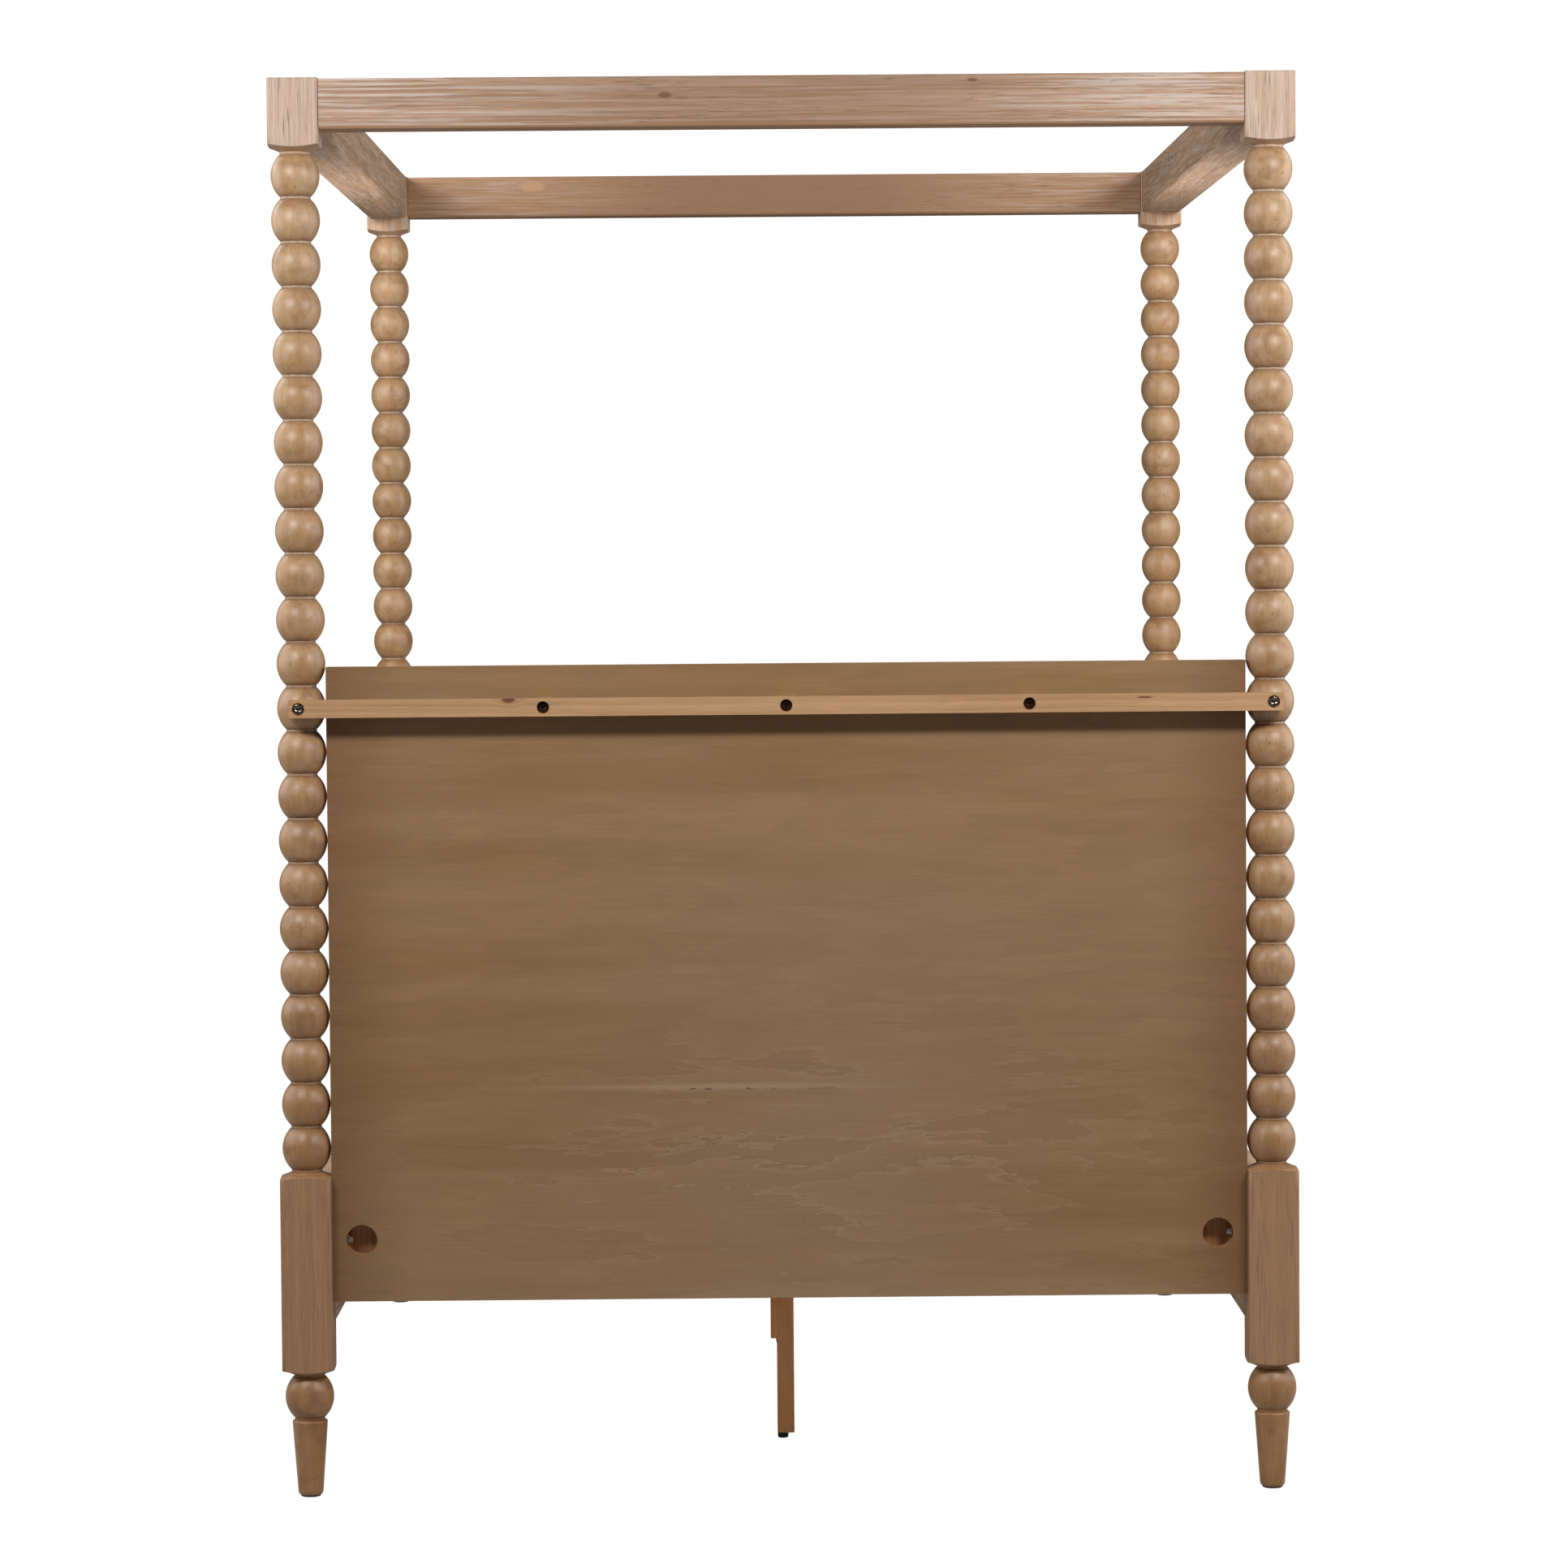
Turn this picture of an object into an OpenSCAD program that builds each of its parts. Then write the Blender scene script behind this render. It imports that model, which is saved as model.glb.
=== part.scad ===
// Four poster bed: bobbin-turned posts, canopy frame, headboard and slatted base for a queen mattress.
// The origin is on the floor under the middle of the bed. +Z is up and the headboard is at -Y.

/* [Bed] */
// Width over the outer faces of the posts
bed_w = 1650; // [1400:1:2000]
// Length over the outer faces of the posts
bed_l = 2219; // [2000:1:2300]

/* [Posts] */
// Side of the square blocks
post_w = 82; // [80:0.5:90]
// Radius to which the blocks' four long corners are eased
post_corner_r = 56.6; // [56:0.1:57.4]
// Bottom corners of the lower block above the floor
block_low_z = 210; // [205:1:230]
// Height of the lower block at its corners
block_low_h = 311; // [300:1:330]
// Height of the upper block at its corners
block_high_h = 106; // [100:1:130]
// Distance from one bead to the next
bead_pitch = 71.45; // [70:0.05:73]
// Diameter of a bead
bead_d = 78.8; // [76:0.1:80]
// Radius of the arc that a bead is turned to
bead_arc_r = 47.3; // [45:0.1:50]
// Beads on the lower length of a post
beads_lower = 12; // [11:1:13]
// Beads on the upper length of a post
beads_upper = 11; // [8:1:12]
// Diameter of the rings between beads
ring_d = 49.5; // [46:0.5:50]
// Height of the rings between beads
ring_h = 4.5; // [3:0.5:5]

/* [Feet] */
// Radius of the foot just under its ball
foot_top_r = 28.5; // [27:0.5:32]
// Radius of the foot at its tip
foot_tip_r = 20.5; // [18:0.5:24]
// Thickness of the nylon glide under the foot
glide_t = 3; // [2:0.5:4]

/* [Canopy] */
// Height of a canopy rail
canopy_h = 80; // [70:1:84]
// Thickness of a canopy rail
canopy_t = 79; // [60:1:80]
// Drop of the rails' top below the blocks' top
canopy_drop = 2; // [0:0.5:5]

/* [Headboard] */
// Bottom edge of the headboard above the floor
panel_low_z = 320; // [315:1:340]
// Height of the headboard
panel_h = 1030; // [1010:1:1100]
// Thickness of the headboard
panel_t = 45; // [44:1:48]
// Recess of the headboard's back behind the posts' back faces
panel_recess = 22; // [15:1:24]
// Thickness of its two skins
skin_t = 4; // [3:0.5:6]
// Diameter of the spanner pockets in its back
pocket_d = 50; // [44:1:54]
// Depth of the spanner pockets
pocket_depth = 33; // [30:1:35]
// Pocket centre from the side edge of the headboard
pocket_in = 48; // [44:1:56]
// Pocket centre above the bottom edge of the headboard
pocket_up = 100; // [70:1:140]

/* [Brace] */
// Height of the bar across the back of the posts
brace_h = 29; // [28:1:36]
// Thickness of the bar
brace_t = 25; // [22:1:30]
// Length of the bar past the centre of each end bolt
brace_past = 16; // [14:1:20]
// Middle bolts' distance from the centre bolt
brace_bolt_step = 391; // [300:1:450]
// Diameter of the counterbores for the bolt heads
brace_bore_d = 20; // [18:0.5:24]

/* [Base] */
// Thickness of the bed rails
rail_t = 25; // [22:1:32]
// Bottom edge of the bed rails above the floor
rail_low_z = 230; // [226:1:236]
// Height of the bed rails
rail_h = 263; // [250:1:270]
// Top of the slats above the floor, where the mattress lies
slat_top_z = 405; // [395:1:420]
// Thickness of a slat
slat_t = 20; // [15:1:22]
// Width of a slat
slat_w = 95; // [60:1:120]
// Number of slats
slat_count = 10; // [10:1:10]

/* [Centre legs] */
// Width of a centre leg across the bed
leg_w = 29; // [27:1:45]
// Depth of a centre leg along the bed
leg_d = 60; // [40:1:80]
// First leg's distance to the left of the bed's centre line
leg_left = 6; // [0:1:6]
// Second leg's further distance to the left
leg_stray = 7; // [0:0.5:7]
// Distance between the two legs along the bed
leg_pitch = 1048; // [800:1:1200]
// Shift of both legs from the middle of the bed towards the head
leg_shift = 40; // [0:0.5:60]
// Diameter of a leveller's pad
pad_d = 19; // [18:0.5:26]
// Height of a leveller's pad
pad_h = 12.5; // [8:0.5:14]
// Diameter of a leveller's threaded stem
stem_d = 8; // [6:0.5:8]

/* [Hidden] */
$fn = 64;

eps = 0.01;
// Radial room round a plain shank or stem in its hole
fit = 0.05;

// The brace stands behind the posts, so the middle of the whole bed is a little behind the posts' middle
brace_gap = 0.1;
brace_proud = brace_t + brace_gap - (post_w - bead_d) / 2;
post_x = (bed_w - post_w) / 2;
head_y = -(bed_l - post_w) / 2 + brace_proud / 2;
foot_y = (bed_l - post_w) / 2 + brace_proud / 2;
inner_x = post_x - post_w / 2;
head_inner_y = head_y + post_w / 2;
foot_inner_y = foot_y - post_w / 2;
back_y = head_y - post_w / 2;
corners = [[-1, -1], [1, -1], [-1, 1], [1, 1]];

// Post heights
bead_r = bead_d / 2;
ring_r = ring_d / 2;
shoulder_r = 40;
shoulder_drop = 4.4;
shoulder_drop_in = 5.9;
shoulder_h = shoulder_drop + shoulder_drop_in;
first_ring_z = block_low_z + block_low_h + shoulder_h + ring_h / 2;
joint_z = first_ring_z + beads_lower * bead_pitch;
last_ring_z = joint_z + beads_upper * bead_pitch;
block_high_z = last_ring_z + ring_h / 2 + shoulder_h;
top_z = block_high_z + block_high_h;
ball_h = 66;
foot_ring_h = 3;
ball_z = block_low_z - shoulder_h - foot_ring_h - ball_h / 2;
under_ring_h = 5;
foot_taper_z = ball_z - ball_h / 2 - under_ring_h;
foot_shoulder_h = 5;
foot_round = 5;
joining_screw_r = 5;
joining_screw_l = 90;
foot_tip_ease = 3;
foot_top_ease = 1;
foot_top_ease_h = 1.5;
glide_in = 4;
glide_r = foot_tip_r - glide_in;
glide_ease = 1;
// Spare depth of a blind hole past the tip of its fastener
hole_room = 2;

// Canopy joints
canopy_low_z = top_z - canopy_drop - canopy_h;
canopy_mid_z = canopy_low_z + canopy_h / 2;
canopy_ease = 3;
dowel_r = 5;
dowel_l = 60;
dowel_up = 25;
bolt_r = 4;
canopy_bolt_in_post = 30;
canopy_bolt_in_rail = 55;
barrel_nut_r = 7;
barrel_nut_l = 30;
barrel_nut_in = 45;

// Headboard
panel_back_y = back_y + panel_recess;
panel_front_y = panel_back_y + panel_t;
panel_high_z = panel_low_z + panel_h;
core_t = panel_t - 2 * skin_t;
core_y = panel_back_y + skin_t;
stile_w = 96;
cross_rail_h = 90;
pocket_x = inner_x - pocket_in;
pocket_z = panel_low_z + pocket_up;
panel_bolt_y = head_y;
panel_bolt_head_h = 5.5;
panel_bolt_head_r = 7.5;
washer_r = 10;
washer_t = 2;
insert_r = 7.5;
insert_l = 25;
wall_at_bolt = sqrt(pow(pocket_d / 2, 2) - pow(washer_r, 2));
wall_x = pocket_x + wall_at_bolt;

// Brace
brace_back_y = head_y - bead_r - brace_gap - brace_t;
brace_front_y = brace_back_y + brace_t;
brace_bead = 10;
brace_z = first_ring_z + (brace_bead + 0.5) * bead_pitch;
end_bore_depth = 7;
middle_bore_depth = 15;
brace_insert_depth = 8;
brace_l = 2 * (post_x + brace_past);
brace_head_r = 8;
brace_head_h = 6;
brace_shank_r = 5;
brace_socket_r = 4.62;
brace_socket_depth = 4;
brace_bolt_stop = 10;
spacer_w = 30;

// Base
rail_mid_z = rail_low_z + rail_h / 2;
slat_low_z = slat_top_z - slat_t;
ledger_w = 30;
ledger_h = 40;
ledger_end_gap = 10;
ledger_l = foot_inner_y - head_inner_y - 2 * ledger_end_gap;
ledger_screw_in = 50;
ledger_screw_down = 24;
ledger_screw_z = slat_low_z - ledger_screw_down;
ledger_screw_count = 6;
ledger_first_screw_y = head_inner_y + ledger_end_gap + ledger_screw_in;
ledger_screw_step = (ledger_l - 2 * ledger_screw_in) / (ledger_screw_count - 1);
rail_inner_x = post_x - rail_t / 2;
foot_rail_inner_y = foot_y - rail_t / 2;
beam_w = 60;
beam_h = 60;
beam_low_z = slat_low_z - beam_h;
hanger_t = 2;
hanger_reach = 40;
plate_w = 20;
plate_h = 150;
plate_t = 3;
hook_t = 4;
hook_h = 26;
hook_out = 14;
hook_neck = 12;
hook_up = 40;
hook_play = 1;
hook_side_play = 0.5;
mortise_w = 8;
mortise_h = 130;
mortise_depth = 20;
slat_end_gap = 3;
slat_margin = 25;
slat_first_y = head_inner_y + slat_margin;
slat_last_y = foot_inner_y - slat_margin - slat_w;
slat_step = (slat_last_y - slat_first_y) / (slat_count - 1);
screw_r = 2.5;
screw_head_r = 4.5;
screw_head_h = 3;
slat_screw_side = 19;
slat_screw_in = 18;

// Centre legs and levellers
leg_mid_y = (head_y + foot_y) / 2 - leg_shift;
leg_y = [leg_mid_y - leg_pitch / 2, leg_mid_y + leg_pitch / 2];
leg_x = [-leg_left, -leg_left - leg_stray];
pad_off = 5;
pad_x = [leg_x[0] - pad_off, leg_x[1] + pad_off];
pad_room = 0.2;
leg_low_z = pad_h + pad_room;
leg_plate_w = 32;
leg_plate_l = 80;
leg_plate_t = 3;
leg_high_z = beam_low_z - leg_plate_t;
stem_r = stem_d / 2;
leg_bolt_in_leg = 38;
leg_bolt_in_beam = 32;
pad_r = pad_d / 2;
pad_floor = 3;
pad_toe = 1;
pad_toe_h = 1.5;
pad_top_ease = 1.5;
pad_top_ease_h = 2;
stem_l = 38;
stem_well = 40;
leg_insert_r = stem_r + 2;
leg_insert_l = 16;

oak = "#b4977b";
golden = "#bb9468";
olive = "#7d6446";
pine = "#c9a47a";
leg_wood = "#a0764e";
nickel = "silver";
zinc = "gainsboro";

// ---- Turned profiles, drawn as half sections ----

// One bead of the column, h tall
module bead_section(h) {
    intersection() {
        translate([bead_r - bead_arc_r, 0])
            circle(r = bead_arc_r);
        translate([0, -h / 2])
            square([bead_r + 1, h]);
    }
}

// A row of beads from the ring at height z upwards, with a ring at both ends
module bead_row_section(z, count) {
    for (i = [0:count - 1])
        translate([0, z + (i + 0.5) * bead_pitch])
            bead_section(bead_pitch - ring_h + eps);
    translate([0, z - ring_h / 2])
        square([ring_r, count * bead_pitch + ring_h]);
}

// Outline that one end of a block of height h is turned to, its corners at height z. side is 1 where
// the block lies above z, and -1 where it lies below
module shoulder_section(z, h, side) {
    far = z + side * h;
    polygon([[0, far], [post_corner_r, far], [post_corner_r, z], [shoulder_r, z - side * shoulder_drop],
             [ring_r, z - side * shoulder_h], [0, z - side * shoulder_h]]);
}

// Square block with its ends turned
module block(z, h, low_end, high_end) {
    low = low_end ? shoulder_h : 0;
    high = high_end ? shoulder_h : 0;
    intersection() {
        translate([-post_w / 2, -post_w / 2, z - low])
            cube([post_w, post_w, h + low + high]);
        rotate_extrude() {
            shoulder_section(low_end ? z : z + h, h, low_end ? 1 : -1);
            if (low_end && high_end)
                shoulder_section(z + h, h, -1);
        }
    }
}

module foot_section() {
    polygon([[0, glide_t], [foot_tip_r - foot_tip_ease, glide_t], [foot_tip_r, glide_t + foot_round],
             [foot_top_r, foot_taper_z - foot_shoulder_h],
             [foot_top_r - foot_top_ease, foot_taper_z - foot_top_ease_h],
             [ring_r, foot_taper_z], [ring_r, foot_taper_z + under_ring_h + eps],
             [0, foot_taper_z + under_ring_h + eps]]);
    translate([0, ball_z])
        bead_section(ball_h);
    translate([0, ball_z + ball_h / 2 - eps])
        square([ring_r, foot_ring_h + 2 * eps]);
}

// Places a corner's child, whose inner faces look along +X and +Y, at that corner of the bed
module at_corner(c) {
    translate([c[0] * post_x, c[1] < 0 ? head_y : foot_y, 0])
        mirror([c[0] > 0 ? 1 : 0, 0, 0])
            mirror([0, c[1] > 0 ? 1 : 0, 0])
                children();
}

// Turns a child that points along +X to point along +Y
module along_y() {
    mirror([1, -1, 0])
        children();
}

// Cylinder along +X from x0
module rod_x(x0, l, r) {
    translate([x0, 0, 0])
        rotate([0, 90, 0])
            cylinder(r = r, h = l);
}

// Recess and mortise for a rail's hooks in the block face that looks along +X
module catch_recess() {
    translate([post_w / 2 - plate_t, -plate_w / 2, rail_mid_z - plate_h / 2])
        cube([plate_t + 1, plate_w, plate_h]);
    translate([post_w / 2 - mortise_depth, -mortise_w / 2, rail_mid_z - mortise_h / 2])
        cube([mortise_depth + 1, mortise_w, mortise_h]);
}

module lower_post_body() {
    block(block_low_z, block_low_h, true, true);
    rotate_extrude() {
        foot_section();
        intersection() {
            bead_row_section(first_ring_z, beads_lower);
            square([post_w, joint_z]);
        }
    }
}

module lower_post(c) {
    at_corner(c)
        difference() {
            lower_post_body();
            along_y()
                catch_recess();
            translate([0, 0, joint_z - joining_screw_l / 2])
                cylinder(r = joining_screw_r + fit, h = joining_screw_l);
            if (c[1] > 0)
                catch_recess();
            if (c[1] < 0) {
                translate([0, 0, pocket_z])
                    rod_x(post_w / 2 - insert_l - hole_room, insert_l + hole_room + 1, insert_r);
                translate([0, 0, brace_z])
                    rotate([90, 0, 0])
                        cylinder(r = insert_r, h = post_w);
            }
        }
}

module canopy_joint_holes() {
    for (up = [-dowel_up, dowel_up])
        translate([0, 0, canopy_mid_z + up])
            rod_x((post_w - dowel_l) / 2, dowel_l, dowel_r);
    translate([0, 0, canopy_mid_z])
        rod_x(post_w / 2 - canopy_bolt_in_post, canopy_bolt_in_post + 1, bolt_r + fit);
}

module upper_post(c) {
    at_corner(c)
        difference() {
            union() {
                block(block_high_z, block_high_h, true, false);
                rotate_extrude()
                    translate([0, joint_z])
                        intersection() {
                            bead_row_section(0, beads_upper);
                            square([post_w, top_z]);
                        }
            }
            canopy_joint_holes();
            along_y()
                canopy_joint_holes();
            translate([0, 0, joint_z - 1])
                cylinder(r = joining_screw_r + fit, h = joining_screw_l / 2 + 1);
        }
}

module head_left_lower_post() { color(golden) lower_post([-1, -1]); }
module head_right_lower_post() { color(golden) lower_post([1, -1]); }
module foot_left_lower_post() { color(golden) lower_post([-1, 1]); }
module foot_right_lower_post() { color(golden) lower_post([1, 1]); }
module head_left_upper_post() { color(golden) upper_post([-1, -1]); }
module head_right_upper_post() { color(golden) upper_post([1, -1]); }
module foot_left_upper_post() { color(golden) upper_post([-1, 1]); }
module foot_right_upper_post() { color(golden) upper_post([1, 1]); }

module post_joining_screws() {
    color(zinc)
        for (c = corners)
            at_corner(c)
                translate([0, 0, joint_z - joining_screw_l / 2])
                    cylinder(r = joining_screw_r, h = joining_screw_l);
}

module post_glides() {
    color("dimgray")
        for (c = corners)
            at_corner(c)
                rotate_extrude()
                    polygon([[0, 0], [glide_r - glide_ease, 0], [glide_r, glide_ease],
                             [glide_r, glide_t], [0, glide_t]]);
}

// ---- Canopy ----

// Rail section in the plane across its length, with its two lower edges eased
module canopy_section() {
    t = canopy_t / 2;
    polygon([[-t, canopy_low_z + canopy_ease], [-t + canopy_ease, canopy_low_z],
             [t - canopy_ease, canopy_low_z], [t, canopy_low_z + canopy_ease],
             [t, canopy_low_z + canopy_h], [-t, canopy_low_z + canopy_h]]);
}

// Joint holes at the end of a rail whose end face is at x = 0 and which runs along +X
module canopy_end_holes() {
    for (up = [-dowel_up, dowel_up])
        translate([0, 0, canopy_mid_z + up])
            rod_x(-1, dowel_l / 2 + 1, dowel_r);
    translate([0, 0, canopy_mid_z])
        rod_x(-1, canopy_bolt_in_rail + 1, bolt_r + fit);
    translate([barrel_nut_in, 0, canopy_mid_z - barrel_nut_l / 2])
        cylinder(r = barrel_nut_r, h = canopy_h);
}

// Rail of length l along +X, starting at x = 0
module canopy_rail(l) {
    difference() {
        rotate([90, 0, 90])
            linear_extrude(height = l)
                canopy_section();
        canopy_end_holes();
        translate([l, 0, 0])
            mirror([1, 0, 0])
                canopy_end_holes();
    }
}

module canopy_head_rail() {
    color(oak)
        translate([-inner_x, head_y, 0])
            canopy_rail(2 * inner_x);
}

module canopy_foot_rail() {
    color(oak)
        translate([-inner_x, foot_y, 0])
            canopy_rail(2 * inner_x);
}

module canopy_left_rail() {
    color(oak)
        translate([-post_x, head_inner_y, 0])
            along_y()
                canopy_rail(foot_inner_y - head_inner_y);
}

module canopy_right_rail() {
    color(oak)
        translate([post_x, head_inner_y, 0])
            along_y()
                canopy_rail(foot_inner_y - head_inner_y);
}

// Puts a child in both rail joints of every corner
module at_canopy_joints() {
    for (c = corners)
        at_corner(c) {
            children();
            along_y()
                children();
        }
}

module canopy_dowels() {
    color(pine)
        at_canopy_joints()
            for (up = [-dowel_up, dowel_up])
                translate([0, 0, canopy_mid_z + up])
                    rod_x((post_w - dowel_l) / 2, dowel_l, dowel_r);
}

module canopy_bolts() {
    color(zinc)
        at_canopy_joints()
            translate([0, 0, canopy_mid_z])
                rod_x(post_w / 2 - canopy_bolt_in_post, canopy_bolt_in_post + canopy_bolt_in_rail, bolt_r);
}

module canopy_barrel_nuts() {
    color(zinc)
        at_canopy_joints()
            difference() {
                translate([post_w / 2 + barrel_nut_in, 0, canopy_mid_z - barrel_nut_l / 2])
                    cylinder(r = barrel_nut_r - fit, h = barrel_nut_l);
                translate([0, 0, canopy_mid_z])
                    rod_x(post_w / 2, barrel_nut_in + 2 * barrel_nut_r, bolt_r + fit);
            }
}

// ---- Headboard ----

// Spanner pockets seen as drills into the back of the headboard
module pockets(depth) {
    for (side = [-1, 1])
        translate([side * pocket_x, panel_back_y - 1, pocket_z])
            rotate([-90, 0, 0])
                cylinder(r = pocket_d / 2, h = depth + 1);
}

module brace_bolt_places() {
    for (i = [-1:1])
        translate([i * brace_bolt_step, 0, brace_z])
            children();
}

// Cylinder along +Y from y0
module rod_y(y0, l, r) {
    translate([0, y0, 0])
        rotate([-90, 0, 0])
            cylinder(r = r, h = l);
}

module skin(y) {
    translate([-inner_x, y, panel_low_z])
        cube([2 * inner_x, skin_t, panel_h]);
}

module headboard_back_skin() {
    color(olive)
        difference() {
            skin(panel_back_y);
            pockets(pocket_depth);
            brace_bolt_places()
                rod_y(panel_back_y - 1, skin_t + 2, brace_shank_r + fit);
        }
}

module headboard_front_skin() { color(olive) skin(panel_front_y - skin_t); }

module headboard_stile(side) {
    difference() {
        translate([side * (inner_x - stile_w / 2) - stile_w / 2, core_y, panel_low_z])
            cube([stile_w, core_t, panel_h]);
        pockets(pocket_depth);
        translate([side * inner_x, panel_bolt_y, pocket_z])
            mirror([side > 0 ? 1 : 0, 0, 0])
                rod_x(-1, pocket_in, bolt_r + fit);
    }
}

module headboard_left_stile() { color(golden) headboard_stile(-1); }
module headboard_right_stile() { color(golden) headboard_stile(1); }

module headboard_cross_rails() {
    l = 2 * (inner_x - stile_w);
    color(golden)
        difference() {
            for (z = [panel_low_z, panel_low_z + (panel_h - cross_rail_h) / 2, panel_high_z - cross_rail_h])
                translate([-l / 2, core_y, z])
                    cube([l, core_t, cross_rail_h]);
            brace_bolt_places()
                rod_y(core_y - 1, 1 + core_t - brace_bolt_stop + hole_room, brace_shank_r + fit);
        }
}

// Puts a child at both headboard bolts, with the pocket's wall at x = 0 and the post along -X
module at_panel_bolts() {
    for (side = [0, 1])
        mirror([side, 0, 0])
            translate([-wall_x, panel_bolt_y, pocket_z])
                children();
}

module headboard_bolts() {
    color(nickel)
        at_panel_bolts() {
            translate([washer_t, 0, 0])
                rotate([0, 90, 0])
                    cylinder(r = panel_bolt_head_r, h = panel_bolt_head_h, $fn = 6);
            rod_x(wall_x - inner_x - insert_l, inner_x - wall_x + insert_l + washer_t, bolt_r);
        }
}

module headboard_washers() {
    color(nickel)
        at_panel_bolts()
            difference() {
                rod_x(0, washer_t, washer_r);
                rod_x(-1, washer_t + 2, bolt_r + fit);
            }
}

module post_inserts() {
    color(zinc)
        for (side = [-1, 1]) {
            at_corner([side, -1])
                translate([0, 0, pocket_z])
                    difference() {
                        rod_x(post_w / 2 - insert_l, insert_l, insert_r);
                        rod_x(0, post_w, bolt_r + fit);
                    }
            translate([side * post_x, 0, brace_z])
                difference() {
                    rod_y(head_y - bead_r + brace_insert_depth, insert_l, insert_r);
                    rod_y(back_y, post_w, brace_shank_r + fit);
                }
        }
}

// ---- Brace ----

module headboard_brace() {
    color(pine)
        difference() {
            translate([-brace_l / 2, brace_back_y, brace_z - brace_h / 2])
                cube([brace_l, brace_t, brace_h]);
            for (side = [-1, 1])
                translate([side * post_x, 0, brace_z]) {
                    rod_y(brace_back_y - 1, end_bore_depth + 1, brace_bore_d / 2);
                    rod_y(brace_back_y, brace_t + 1, brace_shank_r + fit);
                }
            brace_bolt_places() {
                rod_y(brace_back_y - 1, middle_bore_depth + 1, brace_bore_d / 2);
                rod_y(brace_back_y, brace_t + 1, brace_shank_r + fit);
            }
        }
}

// Hex-socket bolt along +Y, its head's seat at y = 0 and its shank l long
module socket_bolt(l) {
    difference() {
        rod_y(-brace_head_h, brace_head_h, brace_head_r);
        translate([0, -brace_head_h - 1, 0])
            rotate([-90, 0, 0])
                cylinder(r = brace_socket_r, h = brace_socket_depth + 1, $fn = 6);
    }
    rod_y(-1, l + 1, brace_shank_r);
}

module brace_end_bolts() {
    color(nickel)
        for (side = [-1, 1])
            translate([side * post_x, brace_back_y + end_bore_depth, brace_z])
                socket_bolt(brace_t + brace_insert_depth + insert_l - end_bore_depth);
}

module brace_middle_bolts() {
    color(nickel)
        brace_bolt_places()
            translate([0, brace_back_y + middle_bore_depth, 0])
                socket_bolt(core_y + core_t - brace_bolt_stop - brace_back_y - middle_bore_depth);
}

module brace_spacers() {
    color(pine)
        brace_bolt_places()
            difference() {
                translate([-spacer_w / 2, brace_front_y, -brace_h / 2])
                    cube([spacer_w, panel_back_y - brace_front_y, brace_h]);
                rod_y(brace_front_y - 1, panel_back_y - brace_front_y + 2, brace_shank_r + fit);
            }
}

// ---- Bed rails and their hooks ----

// Recess for the hook plate in a rail's end face at x = 0, the rail along +X
module plate_recess() {
    translate([-1, -plate_w / 2, rail_mid_z - plate_h / 2])
        cube([plate_t + 1, plate_w, plate_h]);
}

module bed_rail(l) {
    difference() {
        translate([0, -rail_t / 2, rail_low_z])
            cube([l, rail_t, rail_h]);
        plate_recess();
        translate([l, 0, 0])
            mirror([1, 0, 0])
                plate_recess();
    }
}

module side_rail(side) {
    translate([side * post_x, head_inner_y, 0])
        along_y()
            bed_rail(foot_inner_y - head_inner_y);
}

module left_side_rail() { color(oak) side_rail(-1); }
module right_side_rail() { color(oak) side_rail(1); }

module foot_rail() {
    color(oak)
        translate([-inner_x, foot_y, 0])
            bed_rail(2 * inner_x);
}

// Puts a child at the six ends of the bed rails: the block's face at x = post_w / 2, the rail beyond
module at_rail_ends() {
    for (c = corners)
        at_corner(c) {
            along_y()
                children();
            if (c[1] > 0)
                children();
        }
}

// Hook that reaches into the mortise and drops behind the catch plate
module hook(z) {
    x = post_w / 2;
    translate([x - hook_out, -hook_t / 2, z])
        cube([hook_out + eps, hook_t, hook_neck]);
    translate([x - hook_out, -hook_t / 2, z - hook_h + hook_neck])
        cube([hook_out - plate_t - hook_play, hook_t, hook_h]);
}

module rail_hook_plates() {
    color(zinc)
        at_rail_ends() {
            translate([post_w / 2, -plate_w / 2, rail_mid_z - plate_h / 2])
                cube([plate_t, plate_w, plate_h]);
            hook(rail_mid_z + hook_up);
            hook(rail_mid_z - hook_up);
        }
}

module post_catch_plates() {
    color(zinc)
        at_rail_ends()
            difference() {
                translate([post_w / 2 - plate_t, -plate_w / 2, rail_mid_z - plate_h / 2])
                    cube([plate_t, plate_w, plate_h]);
                for (z = [rail_mid_z - hook_up, rail_mid_z + hook_up])
                    translate([post_w / 2 - plate_t - 1, -hook_t / 2 - hook_side_play, z])
                        cube([plate_t + 2, hook_t + 2 * hook_side_play, hook_h]);
            }
}

// ---- Slatted base ----

module at_ledger_screws(side) {
    for (i = [0:ledger_screw_count - 1])
        translate([side * rail_inner_x, ledger_first_screw_y + i * ledger_screw_step, ledger_screw_z])
            mirror([side < 0 ? 1 : 0, 0, 0])
                children();
}

// Countersunk wood screw along +X with its head's face at x = 0, grown by room all round for its hole
module wood_screw(l, room) {
    rod_x(-room, l + room, screw_r + room);
    rotate([0, 90, 0])
        translate([0, 0, -room])
            cylinder(r1 = screw_head_r + room, r2 = screw_r, h = screw_head_h + room);
}

module slat_ledger(side) {
    difference() {
        translate([side * (rail_inner_x - ledger_w / 2) - ledger_w / 2, head_inner_y + ledger_end_gap,
                   slat_low_z - ledger_h])
            cube([ledger_w, ledger_l, ledger_h]);
        at_ledger_screws(side)
            translate([-ledger_w, 0, 0])
                wood_screw(ledger_w + 1, fit);
        for (i = [1:slat_count])
            at_slat_screw(i, side)
                wood_screw(slat_t + slat_screw_in + hole_room, fit);
    }
}

module left_slat_ledger() { color(pine) slat_ledger(-1); }
module right_slat_ledger() { color(pine) slat_ledger(1); }

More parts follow.
